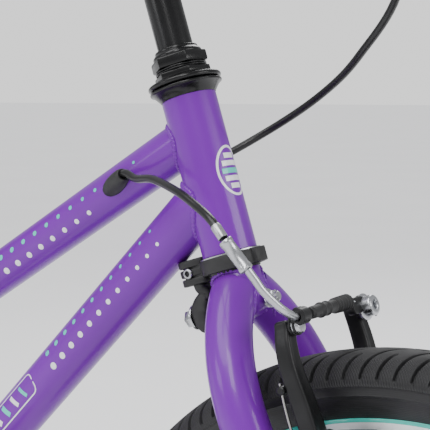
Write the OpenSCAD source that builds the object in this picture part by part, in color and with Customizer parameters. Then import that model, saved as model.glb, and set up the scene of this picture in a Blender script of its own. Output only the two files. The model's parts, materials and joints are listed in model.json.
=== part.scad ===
// Kids' 20-inch single-speed bike: quill stem, threaded headset, one lever that works both rim brakes.
// +X forward, +Y to the rider's left, +Z up. Origin on the ground, midway between the axles.

/* [Wheels] */
// Distance between the front and rear axles
wheelbase = 840; // [800:5:1010]
// Diameter of the rim's bead seat, 406 on a 20-inch wheel
bead_d = 406; // [350:1:450]
// Height of the tyre's section, from bead seat to tread
tyre_height = 43.6; // [36:0.1:50]
// Greatest width of the tyre
tyre_w = 46; // [36:1:52]
// Width of the rim over its brake tracks
rim_w = 25; // [22:0.5:28]
// Spokes in each wheel
spoke_count = 28; // [20:4:36]
// Diameter of a spoke
spoke_d = 2; // [1.8:0.1:2.3]

/* [Frame] */
// Steering axis angle from the ground
head_angle = 72; // [68:0.5:74]
// Seat tube angle from the ground
seat_angle = 72; // [68:0.5:75]
// Length of the head tube
head_tube_l = 98.7; // [90:0.1:120]
// Outside diameter of the head tube
head_tube_d = 34; // [33:0.5:37]
// Outside diameter of the top tube
top_tube_d = 28.6; // [25.4:0.1:30]
// Slope of the top tube, down towards the seat
top_tube_slope = 30.9; // [24:0.1:32]
// Outside diameter of the down tube
down_tube_d = 32.8; // [28.6:0.1:33.4]
// Length of the seat tube above the crank axle
seat_tube_l = 205; // [190:1:260]
// Outside diameter of the seat tube
seat_tube_d = 28.6; // [28.6:0.1:31.8]
// Outside diameter of the seatpost
seatpost_d = 25.4; // [22.2:0.1:25.4]
// Wall of the frame tubes
tube_wall = 1.4; // [1.2:0.1:2]
// Height of the crank axle above the ground
bb_height = 240; // [225:1:255]
// Width of the bottom bracket shell
bb_shell_w = 68; // [66:1:73]

/* [Fork and steering] */
// Offset of the front axle ahead of the steering axis
fork_rake = 33; // [25:1:42]
// Gap between the fork crown and the tyre, along the steering axis
crown_gap = 59.4; // [56:0.1:75]
// Outside diameter of a fork leg at its bend
fork_leg_d = 28.6; // [25.4:0.1:29]
// Distance between the fork legs' centres at the tyre
fork_leg_gap = 89; // [86:1:100]
// Width between the fork ends
front_hub_w = 100; // [96:1:110]
// Diameter of the stem's quill
quill_d = 22.2; // [21.1:0.1:22.2]
// Height of the handlebar clamp above the head tube
stem_rise = 112; // [95:1:130]
// Reach of the handlebar clamp ahead of the quill
stem_reach = 45; // [40:1:60]
// Overall width of the handlebar
bar_w = 580; // [540:5:640]
// Rise of the handlebar
bar_rise = 78; // [60:1:110]
// Length of a grip
grip_l = 108; // [90:1:125]
// Greatest steering angle each way
steer_limit = 50; // [40:5:60]

/* [Drive] */
// Teeth on the chainring
ring_teeth = 32; // [28:4:36]
// Teeth on the freewheel
cog_teeth = 16; // [16:4:16]
// Links in the chain
chain_links = 82; // [80:2:92]
// Distance of the chain from the frame's middle
chain_line = 46; // [45:0.5:48]
// Crank length
crank_l = 127; // [114:1:140]
// Width between the rear fork ends
rear_hub_w = 110; // [110:1:114]
// Length of a pedal's platform
pedal_l = 90; // [75:1:95]

/* [Brakes] */
// Distance between the two brake pivots of a wheel
brake_pivot_gap = 80; // [76:1:84]
// Length of a brake arm above its pivot
brake_arm_l = 90; // [84:1:100]
// Gap between a pad and the rim at rest
pad_gap = 2.3; // [1.5:0.1:3]
// Outside diameter of the cable housing
cable_d = 5; // [4:0.5:5]

/* [Seat] */
// Height of the saddle rails above the crank axle, along the seat tube
saddle_h = 372; // [350:1:420]
// Length of the saddle
saddle_l = 240; // [220:1:260]
// Width of the saddle
saddle_w = 150; // [130:1:170]

/* [Hidden] */
$fn = 64;
function unit(v) = v / norm(v);
fit = 0.05;             // radial clearance of a running fit
seat_gap = 0.2;         // gap between pieces that only touch
tyre_r = bead_d / 2 + tyre_height;
rim_edge_r = bead_d / 2 + 6;
rim_in_r = bead_d / 2 - 15;
rim_wall = 1.8;
front_x = wheelbase / 2;
rear_x = -wheelbase / 2;
axle_r = 4.75;
axle_nut_h = 9;

// steering geometry, measured along the steering axis from the top of the head tube
fork_l = head_tube_l + 11.3 + crown_gap + tyre_r;
head_top = [front_x - fork_l * cos(head_angle) - fork_rake * sin(head_angle), 0,
            tyre_r + fork_l * sin(head_angle) - fork_rake * cos(head_angle)];
function on_steering(s, ahead = 0) = head_top + s * [cos(head_angle), 0, -sin(head_angle)]
    + ahead * [sin(head_angle), 0, cos(head_angle)];
steerer_r = 12.7;
cup_r = 22.8;
stack_h = 31;
crown_s = head_tube_l + 11.3;

// drive geometry: the centre distance that the chain's links allow
pitch = 12.7;
roller_r = 3.9;
ring_r = pitch / (2 * sin(180 / ring_teeth));
cog_r = pitch / (2 * sin(180 / cog_teeth));
spare_links = chain_links - (ring_teeth + cog_teeth) / 2;
tooth_term = (ring_teeth - cog_teeth) / (2 * PI);
centre_l = pitch / 4 * (spare_links + sqrt(spare_links ^ 2 - 8 * tooth_term ^ 2));
bb_x = rear_x + sqrt(centre_l ^ 2 - (bb_height - tyre_r) ^ 2);
bb = [bb_x, 0, bb_height];
wrap = asin((ring_r - cog_r) / centre_l);
drive_tilt = atan2(bb_height - tyre_r, bb_x - rear_x);
ring_wrap_links = (180 + 2 * wrap) / (360 / ring_teeth);
run_links = centre_l * cos(wrap) / pitch;
tooth_t = 3;
chain_plate_gap = 4.4;
chain_plate_t = 1;
crank_arm_y = 57;
crank_arm_t = 13;
pedal_y = crank_arm_y + crank_arm_t + 5;
pedal_w = pedal_l - 5;

// frame nodes of the main triangle
seat_dir = [-cos(seat_angle), 0, sin(seat_angle)];
function on_seat(t) = bb + t * seat_dir;
top_joint = on_steering(23);
down_joint = on_steering(59);
top_dir = [-cos(top_tube_slope), 0, -sin(top_tube_slope)];
top_tube_run = (seat_dir[2] * (top_joint[0] - bb[0]) - seat_dir[0] * (top_joint[2] - bb[2]))
    / (seat_dir[0] * top_dir[2] - seat_dir[2] * top_dir[0]);
top_end = top_joint + top_tube_run * top_dir;
port_run = 59;          // cable ports, behind the steering axis along the top tube
exit_run = top_tube_run - 62;
shell_r = 20;
stay_r = 9;
seatstay_r = 7.5;
stay_top = on_seat(seat_tube_l - 27);
stay_tilt = atan2(stay_top[0] - rear_x, stay_top[2] - tyre_r);
brake_lean = 5.3;       // the rear brake leans back from the seatstays, which gives its pads room
brake_tilt = stay_tilt - brake_lean;
stay_l = norm(stay_top - [rear_x, 0, tyre_r]);
dropout_y = rear_hub_w / 2;
dropout_t = 5;

// brake geometry, in a frame on the wheel's axle with z up along the fork or stays
pivot_z = bead_d / 2 - 27;
pivot_y = brake_pivot_gap / 2;
post_r = 4;
pad_z = bead_d / 2 - 4;
pad_x = 17;
arm_x = 10;
arm_t = 12;
arm_top_z = pivot_z + brake_arm_l;
noodle_z = arm_top_z + 5;
noodle_x = arm_x + arm_t + 6;
noodle_start = [noodle_x - 8, -pivot_y - 28, noodle_z + 33];
noodle_top = [noodle_x - 14, -pivot_y - 32, noodle_z + 50];

// handlebar and lever places
bar_r = 11.1;
clamp_r = 12.7;
bar_centre = on_steering(-stem_rise, stem_reach);
bar_bend_y = 95;
bar_end = bar_centre + [-45, bar_w / 2, bar_rise + 5];
bar_bend = bar_centre + [-6, bar_bend_y, bar_rise];
bar_dir = (bar_end - bar_bend) / norm(bar_end - bar_bend);
lever_y = bar_w / 2 - grip_l - 16;

// places in the brakes' frames, and by the head tube
function front_local(p) = on_steering(fork_l - p[2], fork_rake + p[0]) + [0, p[1], 0];
function rear_local(p) = [rear_x, 0, tyre_r] + p[2] * [sin(brake_tilt), 0, cos(brake_tilt)]
    - p[0] * [cos(brake_tilt), 0, -sin(brake_tilt)] - [0, p[1], 0];
function at_head(p) = head_top + p;
// a cable's place where it leaves the top tube: run along the tube, way = 1 to leave it forwards
function hole_point(run, way, side, t) = top_joint + (run - way * t) * top_dir
    + [0, side * (16.6 + 0.36 * t), 0];
// the cables' routes: lever to rear brake, and rear brake to front brake
housing_gap = 1;
housing_end = noodle_top + unit(noodle_top - noodle_start) * housing_gap;
lever_end = [bar_bend[0] + 27, -(lever_y - 22), bar_bend[2] + 4];
function port_in(side) = [for (t = [11, 0, -10, -30]) hole_point(port_run, 1, side, t)];
function port_out(side) = [for (t = [-30, -10, 0, 11, 24]) hole_point(exit_run, -1, side, t)];
lever_route = concat([lever_end, at_head([100, -110, 190]), at_head([135, -60, 165]),
    at_head([148, -10, 125]), at_head([122, 40, 65]), at_head([87, 58, 26]), at_head([54, 70, 2]),
    at_head([13, 72, -22]), at_head([-20, 43, -45])], port_in(1), port_out(1),
    [rear_local([10, -46, 392]), rear_local([10, -66, 356]), rear_local([8, -74.5, 337]),
    rear_local(housing_end)]);
front_route = concat([front_local(housing_end), at_head([64, -70, -66]), at_head([50, -63, -60]),
    at_head([31, -55, -53]), at_head([1, -38, -48]), at_head([-20, -27, -49])], port_in(-1), port_out(-1),
    [rear_local([-6, 44, 372]), rear_local([4, 50, 330])]);

// ---- helpers ----
// turns local Z towards v, from the point p
module facing(p, v) { translate(p) rotate([0, acos(v[2] / norm(v)), atan2(v[1], v[0])]) children(); }
module rod(p, q, r, r2 = undef) {
    facing(p, q - p) cylinder(h = norm(q - p), r1 = r, r2 = is_undef(r2) ? r : r2);
}
// turned pin along Z: each step is [height where it begins, radius up to the next step]
module stepped(steps) {
    last = len(steps) - 1;
    walls = [for (i = [0 : last - 1]) each [[steps[i][1], steps[i][0]], [steps[i][1], steps[i + 1][0]]]];
    rotate_extrude($fn = 16) polygon(concat([[0, steps[0][0]]], walls, [[0, steps[last][0]]]));
}
// cylinder along Y, centred on the given point
module y_rod(p, r, l, sides = 64) {
    translate(p) rotate([90, 0, 0]) cylinder(h = l, r = r, center = true, $fn = sides);
}
// path of straight stretches joined by round bends of the given radius at its inner points
function bent(p, bend, step = 12) = let (last = len(p) - 1) concat([p[0]], [for (i = [1 : last - 1])
    let (a = unit(p[i] - p[i - 1]), b = unit(p[i + 1] - p[i]), turn = acos(a * b),
        m = unit(b - (b * a) * a), c = p[i] - a * bend * tan(turn / 2) + m * bend, n = ceil(turn / step))
    for (k = [0 : n]) c + bend * (a * sin(turn * k / n) - m * cos(turn * k / n))], [p[last]]);
// smooth curve through a route's points, and a tube swept along it
function curve_point(p, i, t) = let (a = p[max(i - 1, 0)], b = p[i], c = p[i + 1],
    d = p[min(i + 2, len(p) - 1)]) 0.5 * (2 * b + (c - a) * t + (2 * a - 5 * b + 4 * c - d) * t ^ 2
    + (3 * b - a - 3 * c + d) * t ^ 3);
function curve(p, steps) = concat([for (i = [0 : len(p) - 2]) for (k = [0 : steps - 1])
    curve_point(p, i, k / steps)], [p[len(p) - 1]]);
function ring_dirs(p) = [for (i = [0 : len(p) - 1]) unit(p[min(i + 1, len(p) - 1)] - p[max(i - 1, 0)])];
function carried(dirs, n, i = 0) = i >= len(dirs) ? [] :
    let (m = unit(n - (n * dirs[i]) * dirs[i])) concat([m], carried(dirs, m, i + 1));
// r is one radius, or a list with the radius at each point
module along(p, r, sides) {
    t = ring_dirs(p);
    n = carried(t, [0.1, 0.2, 1]);
    rings = len(p);
    points = [for (i = [0 : rings - 1]) for (k = [0 : sides - 1])
        let (a = 360 * k / sides, r_here = is_list(r) ? r[i] : r)
        p[i] + r_here * (cos(a) * n[i] + sin(a) * cross(t[i], n[i]))];
    walls = [for (i = [0 : rings - 2]) for (k = [0 : sides - 1]) let (j = (k + 1) % sides)
        [i * sides + k, (i + 1) * sides + k, (i + 1) * sides + j, i * sides + j]];
    ends = [[for (k = [0 : sides - 1]) k], [for (k = [sides - 1 : -1 : 0]) (rings - 1) * sides + k]];
    polyhedron(points, concat(walls, ends));
}
module swept(route, r, steps = 3) { along(curve(route, steps), r, 8); }
module pipe(points, r, bend) { along(bent(points, bend), r, 24); }
// frames of reference: steering axis, wheels and brakes
module at_steering() { translate(head_top) rotate([0, head_angle - 90, 0]) children(); }
module at_front_brake() { at_steering() translate([fork_rake, 0, -fork_l]) children(); }
module at_rear_brake() {
    translate([rear_x, 0, tyre_r]) rotate([0, brake_tilt, 0]) rotate([0, 0, 180]) children();
}
module at_wheel(x) { translate([x, 0, tyre_r]) children(); }
module both_sides() { children(); mirror([0, 1, 0]) children(); }
module on_bar() {
    translate(bar_bend) rotate([0, acos(bar_dir[2]), atan2(bar_dir[1], bar_dir[0])]) children();
}
// hexagon nut or head along Z, measured across its flats
module hex(flats, h) { cylinder(h = h, r = flats / 2 / cos(30), $fn = 6); }

// ---- frame ----
module head_tube_body() { translate([0, 0, -head_tube_l]) cylinder(h = head_tube_l, r = head_tube_d / 2); }
module head_tube() {
    color("mediumpurple") at_steering() difference() {
        head_tube_body();
        translate([0, 0, -head_tube_l - 1]) cylinder(h = head_tube_l + 2, r = head_tube_d / 2 - 2);
    }
}
module seat_tube_body() { rod(on_seat(0), on_seat(seat_tube_l), seat_tube_d / 2); }
module cable_hole(run, way, side, r, from = -30) {
    rod(hole_point(run, way, side, from), hole_point(run, way, side, 14), r);
}
module each_hole() {
    for (side = [-1, 1]) {
        $side = side;
        $run = port_run;
        $way = 1;
        children();
    }
    for (side = [-1, 1]) {
        $side = side;
        $run = exit_run;
        $way = -1;
        children();
    }
}
module top_tube() {
    color("mediumpurple") difference() {
        rod(top_joint, top_end, top_tube_d / 2);
        rod(top_joint, top_end, top_tube_d / 2 - tube_wall);
        at_steering() head_tube_body();
        seat_tube_body();
        each_hole() cable_hole($run, $way, $side, cable_d / 2 + 2);
    }
}
module down_tube() {
    color("mediumpurple") difference() {
        rod(down_joint, bb, down_tube_d / 2);
        rod(down_joint, bb, down_tube_d / 2 - tube_wall);
        at_steering() head_tube_body();
        y_rod(bb, shell_r, bb_shell_w);
        seat_tube_body();
    }
}
module seat_tube() {
    color("mediumpurple") difference() {
        seat_tube_body();
        rod(on_seat(0), on_seat(seat_tube_l + 1), seatpost_d / 2 + fit);
        y_rod(bb, shell_r, bb_shell_w);
        translate(on_seat(seat_tube_l)) rotate([0, seat_angle - 90, 0])
            translate([-20, -1, -26]) cube([20, 2, 30]);
    }
}
module bottom_bracket_shell() {
    color("mediumpurple") difference() {
        y_rod(bb, shell_r, bb_shell_w);
        y_rod(bb, shell_r - 3, bb_shell_w + 2);
    }
}
stay_start_y = 27;
stay_end = [rear_x + 34, dropout_y + dropout_t / 2, tyre_r];
eyelet = [2, 18.5];     // mudguard eyelet, from the axle
module dropout() {
    translate([rear_x, dropout_y + dropout_t, tyre_r]) rotate([90, 0, 0]) linear_extrude(height = dropout_t)
        difference() {
            union() {
                circle(15);
                translate([0, -9]) square([40, 18]);
                rotate(-stay_tilt) translate([-8, 0]) square([16, 34]);
                translate(eyelet) circle(6);
            }
            circle(axle_r + seat_gap);
            translate([-20, -axle_r - seat_gap]) square([20, 2 * (axle_r + seat_gap)]);
            translate(eyelet) circle(2.6);
        }
}
kickstand_x = bb_x - shell_r - 27;
module chainstays() {
    color("mediumpurple") difference() {
        union() {
            both_sides() {
                rod([bb_x - 12, stay_start_y - 1, bb_height], stay_end, stay_r, stay_r - 2);
                dropout();
            }
            translate([kickstand_x - 20, -24, bb_height - 3]) cube([40, 48, 6]);
        }
        y_rod(bb, shell_r, bb_shell_w + 10);
        translate([kickstand_x, 0, bb_height - 5]) cylinder(h = 10, r = 5.25);
    }
}
// point on a seatstay's centreline in the rear brake's frame
function stay_point(y, z) = [-z * tan(brake_lean), y, z];
module seatstays() {
    wide = fork_leg_gap / 2 + 0.5;
    post_x = stay_point(0, pivot_z)[0];
    color("mediumpurple") difference() {
        at_rear_brake() union() {
            both_sides() {
                pipe([stay_point(dropout_y + dropout_t / 2, 27), stay_point(dropout_y + 6, 75),
                    stay_point(wide, pivot_z + 12), stay_point(wide - 3, tyre_r + 12),
                    stay_point(12, stay_l * cos(brake_lean))], seatstay_r, 50);
                translate([post_x, pivot_y, pivot_z]) rotate([0, 90, 0])
                    cylinder(h = arm_x - post_x - seat_gap, r = 6.5);
                translate([0, pivot_y, pivot_z]) rotate([0, 90, 0])
                    cylinder(h = arm_x + arm_t + 1, r = post_r);
            }
            y_rod(stay_point(0, tyre_r + 15), 6, 2 * wide - 14);
        }
        seat_tube_body();
        both_sides() dropout();
    }
}
module head_badge() {
    color("whitesmoke") at_steering() translate([0, 0, -51]) intersection() {
        difference() {
            cylinder(h = 44, r = head_tube_d / 2 + 1.2, center = true);
            cylinder(h = 46, r = head_tube_d / 2, center = true);
        }
        rotate([0, 90, 0]) union() {
            cylinder(h = 30, r = 13);
            for (side = [-1, 1]) translate([side * 12, 0, 0]) cylinder(h = 30, r = 9);
        }
    }
}
// a ring of the given profile round the steering axis: points are [radius, height]
module turned(points) { rotate_extrude() polygon(points); }
head_bore_r = head_tube_d / 2 - 2;
module headset_cups() {
    r = head_tube_d / 2;
    color("dimgray") at_steering() union() {
        turned([[head_bore_r - 1.6, -10], [head_bore_r, -10], [head_bore_r, 0], [r + 0.3, 0],
            [cup_r - 1.5, 5.5], [cup_r - 0.2, 7.5], [18.6, 7.5], [18.6, 2.5], [head_bore_r - 1.6, 2.5]]);
        turned([[head_bore_r - 1.6, 10 - head_tube_l], [head_bore_r, 10 - head_tube_l],
            [head_bore_r, -head_tube_l], [r + 0.6, -head_tube_l], [r + 0.6, -head_tube_l - 5.4],
            [r - 0.4, -head_tube_l - 5.4], [r - 0.4, -head_tube_l - 2],
            [head_bore_r - 1.6, -head_tube_l - 2]]);
    }
}
module ball_ring(r, ball, z) {
    for (k = [0 : 17]) rotate(20 * k) translate([r, 0, z]) sphere(ball, $fn = 16);
}
module headset_bearings() {
    color("silver") at_steering() {
        ball_ring(15.9, 2.35, 4.9);
        ball_ring(14.8, 1.55, -head_tube_l - 3.7);
    }
}
clamp_in_r = head_tube_d / 2 + 0.8;
module limiter_clamp() {
    color("black") at_steering() translate([0, 0, -head_tube_l - 9.8]) {
        difference() {
            union() {
                cylinder(h = 9, r = clamp_in_r + 2);
                translate([-34, -7, 0]) cube([18, 14, 9]);
                translate([clamp_in_r - 6, -6, 1]) cube([10.5, 12, 7]);
            }
            translate([0, 0, -1]) cylinder(h = 12, r = clamp_in_r);
            translate([-40, -1.2, -1]) cube([34, 2.4, 12]);
            translate([-28.5, 0, 4.5]) rotate([90, 0, 0]) cylinder(h = 20, r = 2.2, center = true);
        }
        // clamp screw
        translate([-28.5, 0, 4.5]) rotate([90, 0, 0]) {
            cylinder(h = 22, r = 2, center = true);
            translate([0, 0, 7.2]) cylinder(h = 3.8, r = 4);
        }
    }
}
bolt_z = -crown_s - 21;  // limiter bolt through the fork's neck, and the strap on its head
module limiter_strap() {
    color("dimgray") at_steering() difference() {
        union() {
            translate([-31, -6.5, -head_tube_l - 24]) cube([9, 13, 14]);
            translate([-35, -8, bolt_z - 10]) cube([17.5, 16, 20]);
        }
        translate([0, 0, bolt_z]) rotate([0, -90, 0]) cylinder(h = 60, r = 3 + seat_gap);
    }
}
module cable_ports() {
    color("black") difference() {
        each_hole() {
            back = hole_point($run, $way, $side, -12) - [0, $side * 2, 0];
            rod(back, hole_point($run, $way, $side, 9), 7, 5.5);
            translate(back) sphere(7.3);
        }
        rod(top_joint, top_end, top_tube_d / 2 + fit);
        each_hole() cable_hole($run, $way, $side, cable_d / 2 + 1);
    }
}
module seat_collar() {
    color("black") translate(on_seat(seat_tube_l - 14)) rotate([0, seat_angle - 90, 0]) {
        difference() {
            union() {
                cylinder(h = 14, r = seat_tube_d / 2 + 3.2);
                translate([-28, -7, 0]) cube([14, 14, 14]);
            }
            translate([0, 0, -1]) cylinder(h = 16, r = seat_tube_d / 2 + seat_gap);
            translate([-40, -1.2, -1]) cube([30, 2.4, 16]);
            translate([-23.5, 0, 7]) rotate([90, 0, 0]) cylinder(h = 30, r = 2.7, center = true);
        }
        translate([-23.5, 0, 7]) rotate([90, 0, 0]) {
            cylinder(h = 22, r = 2.5, center = true);
            translate([0, 0, 7.2]) cylinder(h = 4.5, r = 4.2);
            translate([0, 0, -11.5]) hex(8, 4.3);
        }
    }
}
spindle_r = 8.5;
module bottom_bracket_cups() {
    color("silver") both_sides() difference() {
        union() {
            y_rod(bb + [0, bb_shell_w / 2 - 8, 0], shell_r - 3 - seat_gap, 16);
            y_rod(bb + [0, bb_shell_w / 2 + 1.5, 0], shell_r - 0.5, 3 - seat_gap);
        }
        y_rod(bb + [0, bb_shell_w / 2, 0], spindle_r + fit, 60);
    }
}
// ---- axles: a threaded rod with cones, washers and nuts as separate solids ----
module axle_set(x, hub_w, drop_t) {
    at_wheel(x) {
        y_rod([0, 0, 0], axle_r, hub_w + 2 * (drop_t + axle_nut_h + 5));
        both_sides() {
            difference() {
                y_rod([0, hub_w / 2 - 6, 0], 9 - fit, 12 - 2 * seat_gap);
                y_rod([0, hub_w / 2 - 3.5, 0], axle_r + seat_gap, 20);
            }
            difference() {
                translate([0, hub_w / 2 + drop_t + seat_gap, 0]) rotate([-90, 0, 0]) union() {
                    cylinder(h = 2, r = 10.5);
                    translate([0, 0, 2]) hex(15, axle_nut_h);
                }
                y_rod([0, hub_w / 2 + 12, 0], axle_r + seat_gap, 40);
            }
        }
    }
}
module rear_axle() { color("silver") axle_set(rear_x, rear_hub_w, dropout_t); }
module front_axle() { color("silver") axle_set(front_x, front_hub_w, dropout_t); }
// ---- chain: rollers and pins between two rows of side plates ----
function chain_pin(k) =
    k < ring_wrap_links ? let (a = 90 + wrap - k * 360 / ring_teeth) ring_r * [cos(a), sin(a)] :
    k < ring_wrap_links + run_links ? let (d = (k - ring_wrap_links) * pitch, a = -90 - wrap)
        ring_r * [cos(a), sin(a)] + d * [sin(a), -cos(a)] :
    k < chain_links - run_links ? let (a = -90 - wrap - (k - ring_wrap_links - run_links) * 360 / cog_teeth)
        [-centre_l, 0] + cog_r * [cos(a), sin(a)] :
    let (d = (chain_links - k) * pitch, a = 90 + wrap) ring_r * [cos(a), sin(a)] + d * [-sin(a), cos(a)];
module at_drive() {
    translate([bb_x, -chain_line, bb_height]) rotate([0, -drive_tilt, 0]) rotate([90, 0, 0]) children();
}
module chain_plate(a, b) {
    v = b - a;
    translate(a) rotate(atan2(v[1], v[0])) {
        circle(4.2, $fn = 16);
        translate([0, -3]) square([norm(v), 6]);
    }
}
module chain() {
    color("darkgray") at_drive() {
        for (side = [-1, 1]) translate([0, 0, side * (chain_plate_gap / 2 + chain_plate_t / 2)])
            linear_extrude(height = chain_plate_t, center = true)
                for (k = [0 : chain_links - 1]) chain_plate(chain_pin(k), chain_pin((k + 1) % chain_links));
        for (k = [0 : chain_links - 1]) translate(concat(chain_pin(k), 0))
            cylinder(h = chain_plate_gap + 0.2, r = roller_r, center = true, $fn = 16);
    }
}
module toothed(r, teeth, phase) {
    difference() {
        circle(r + roller_r);
        for (k = [0 : teeth - 1]) rotate(phase + k * 360 / teeth) translate([r, 0]) {
            circle(roller_r + seat_gap, $fn = 24);
            polygon([[0, -roller_r - seat_gap], [8, -8.4], [8, 8.4], [0, roller_r + seat_gap]]);
        }
    }
}
module chainring() {
    color("dimgray") at_drive() linear_extrude(height = tooth_t, center = true) difference() {
        toothed(ring_r, ring_teeth, 90 + wrap);
        circle(14 + seat_gap);
        for (k = [0 : 4]) rotate(72 * k + 36) translate([ring_r * 0.62, 0]) circle(ring_r * 0.2);
    }
}
freewheel_in_r = 20;
module freewheel() {
    first = ceil(ring_wrap_links + run_links);
    phase = -90 - wrap - (first - ring_wrap_links - run_links) * 360 / cog_teeth;
    color("gray") at_drive() translate([-centre_l, 0, 0]) difference() {
        union() {
            linear_extrude(height = tooth_t, center = true) toothed(cog_r, cog_teeth, phase);
            translate([0, 0, -5]) cylinder(h = 9, r = cog_r - 6);
        }
        cylinder(h = 40, r = freewheel_in_r + fit, center = true);
    }
}
module crank_spindle() { color("gray") y_rod(bb, spindle_r, 2 * (crank_arm_y + 6)); }
module crank_arm(side) {
    eye = [side * crank_l, 0, 0];
    translate(bb + [0, -side * crank_arm_y, 0]) rotate([side * 90, 0, 0]) difference() {
        union() {
            cylinder(h = crank_arm_t, r = 16);
            linear_extrude(height = crank_arm_t)
                polygon([[0, -11], [eye[0], -9], [eye[0], 9], [0, 11]]);
            translate(eye) cylinder(h = crank_arm_t, r = 13);
        }
        translate([0, 0, -1]) cylinder(h = 7, r = spindle_r + seat_gap);
        translate(eye + [0, 0, -1]) cylinder(h = crank_arm_t + 2, r = 7 + seat_gap);
    }
}
module crank_arms() {
    color("silver") {
        crank_arm(1);
        crank_arm(-1);
        // spider of the driven arm, from the chainring out to the arm
        difference() {
            union() {
                y_rod(bb - [0, (chain_line + crank_arm_y) / 2, 0], 14, crank_arm_y - chain_line + tooth_t);
                for (k = [0 : 4]) translate(bb - [0, chain_line + tooth_t / 2 + seat_gap, 0])
                    rotate([90, 72 * k + 18, 0]) translate([0, -5, 0]) cube([ring_r * 0.5, 10, 4]);
            }
            y_rod(bb - [0, crank_arm_y, 0], spindle_r + seat_gap, 40);
        }
    }
}
module pedal_axles() {
    color("silver") for (side = [1, -1]) {
        eye = bb + [side * crank_l, -side * crank_arm_y, 0];
        y_rod(eye - [0, side * (crank_arm_t / 2 - 0.1), 0], 7, crank_arm_t);
        y_rod(eye - [0, side * (crank_arm_t + 2), 0], 8.5, 4);
        y_rod(eye - [0, side * (crank_arm_t + pedal_w / 2), 0], 5, pedal_w - 2);
    }
}
module pedal(side) {
    centre = bb + [side * crank_l, -side * (pedal_y + pedal_w / 2), 0];
    color("black") translate(centre) difference() {
        union() {
            y_rod([0, 0, 0], 11, pedal_w);
            difference() {
                cube([pedal_l, pedal_w, 24], center = true);
                cube([pedal_l - 16, pedal_w - 16, 30], center = true);
            }
            for (k = [-1, 1]) translate([0, k * pedal_w * 0.2, 0]) cube([pedal_l - 8, 7, 20], center = true);
        }
        y_rod([0, 0, 0], 5 + fit, pedal_w + 2);
    }
}
module right_pedal() { pedal(1); }
module left_pedal() { pedal(-1); }

// ---- fork and headset, heights along the steering axis from the top of the head tube ----
steerer_in_r = quill_d / 2 + fit;
module fork_steerer() {
    color("dimgray") at_steering() difference() {
        translate([0, 0, -crown_s + 0.2]) cylinder(h = crown_s + 24, r = steerer_r);
        translate([0, 0, -crown_s - 1]) cylinder(h = crown_s + 40, r = steerer_in_r);
    }
}
leg_tilt = atan(fork_rake / (fork_l - crown_s - 2));
leg_r = fork_leg_d / 2;
leg_spread = 50;        // angle at which a leg leaves the neck
leg_foot = 2;           // angle it keeps below its bend
leg_bend = (fork_leg_gap / 2 - 8) / (cos(leg_foot) - cos(leg_spread));
module fork_leg() {
    arc = [for (a = [leg_spread : -4 : leg_foot]) [0, fork_leg_gap / 2 - leg_bend * (cos(leg_foot) - cos(a)),
        -3 - leg_bend * (sin(leg_spread) - sin(a))]];
    foot = [0, front_hub_w / 2 + 2, 22 - (fork_l - crown_s - 2)];
    low = arc[len(arc) - 1];
    along(concat(arc, [low + (foot - low) * 0.4, foot]), concat([for (p = arc) leg_r], [leg_r - 1, 9]), 32);
}
module fork_end() {
    y_rod([0, front_hub_w / 2 + dropout_t / 2, 0], 14, dropout_t);
    translate([-11, front_hub_w / 2, 0]) cube([20, dropout_t, 26]);
}
module fork_legs() {
    color("mediumpurple") difference() {
        union() {
            at_steering() translate([0, 0, -crown_s - 2]) rotate([0, -leg_tilt, 0]) {
                both_sides() fork_leg();
                cylinder(h = 2, r = 15.5);
                translate([0, 0, -22]) cylinder(h = 22, r = 15.5);
                translate([-2.5, -26, -36]) cube([5, 52, 26]);
            }
            at_front_brake() both_sides() {
                fork_end();
                post_x = fork_rake * (fork_l - pivot_z - crown_s) / (fork_l - crown_s) - fork_rake;
                translate([post_x, pivot_y, pivot_z]) rotate([0, 90, 0])
                    cylinder(h = arm_x - post_x - seat_gap, r = 6.5);
                translate([0, pivot_y, pivot_z]) rotate([0, 90, 0])
                    cylinder(h = arm_x + arm_t + 1, r = post_r);
            }
        }
        at_front_brake() {
            y_rod([0, 0, 0], axle_r + seat_gap, 2 * front_hub_w);
            translate([-axle_r - seat_gap, -front_hub_w, -20])
                cube([2 * (axle_r + seat_gap), 2 * front_hub_w, 20]);
            both_sides() y_rod([0, front_hub_w / 2 + dropout_t + 10, 0], 13, 20);
            both_sides() y_rod([0, front_hub_w / 2 - 10, 0], 13, 20);
        }
        at_steering() translate([0, 0, -crown_s - 0.1]) cylinder(h = 30, r = 30);
        at_steering() translate([0, 0, bolt_z]) rotate([0, 90, 0]) cylinder(h = 90, r = 3.2, center = true);
    }
}
module limiter_bolt() {
    color("silver") at_steering() translate([0, 0, bolt_z]) rotate([0, 90, 0]) {
        translate([0, 0, -38]) cylinder(h = 63, r = 3);
        translate([0, 0, -36.9]) cylinder(h = 1.7, r = 8);
        translate([0, 0, -42.5]) hex(10, 5.7);
        translate([0, 0, 18]) hex(10, 5);
    }
}
module crown_race() {
    color("dimgray") at_steering() difference() {
        translate([0, 0, -crown_s + 0.1]) turned([[steerer_r + fit, 0], [16.4, 0], [16.4, 2],
            [15.2, 2.2], [15.2, 5.4], [steerer_r + fit, 5.4]]);
    }
}
module adjusting_race() {
    color("black") at_steering() {
        turned([[steerer_r + fit, 6.8], [14.2, 6.8], [15.4, 7.8], [cup_r - 0.1, 7.8], [cup_r, 9.3],
            [21.8, 10.6], [19.6, 12.4], [steerer_r + fit, 12.4]]);
        difference() {
            translate([0, 0, 12.3]) hex(31, 4);
            cylinder(h = 40, r = steerer_r + fit);
        }
    }
}
module lock_washer() {
    color("black") at_steering() translate([0, 0, 16.5]) difference() {
        cylinder(h = 2.8, r = 16.3);
        translate([0, 0, -1]) cylinder(h = 5, r = steerer_r + fit);
    }
}
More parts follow.
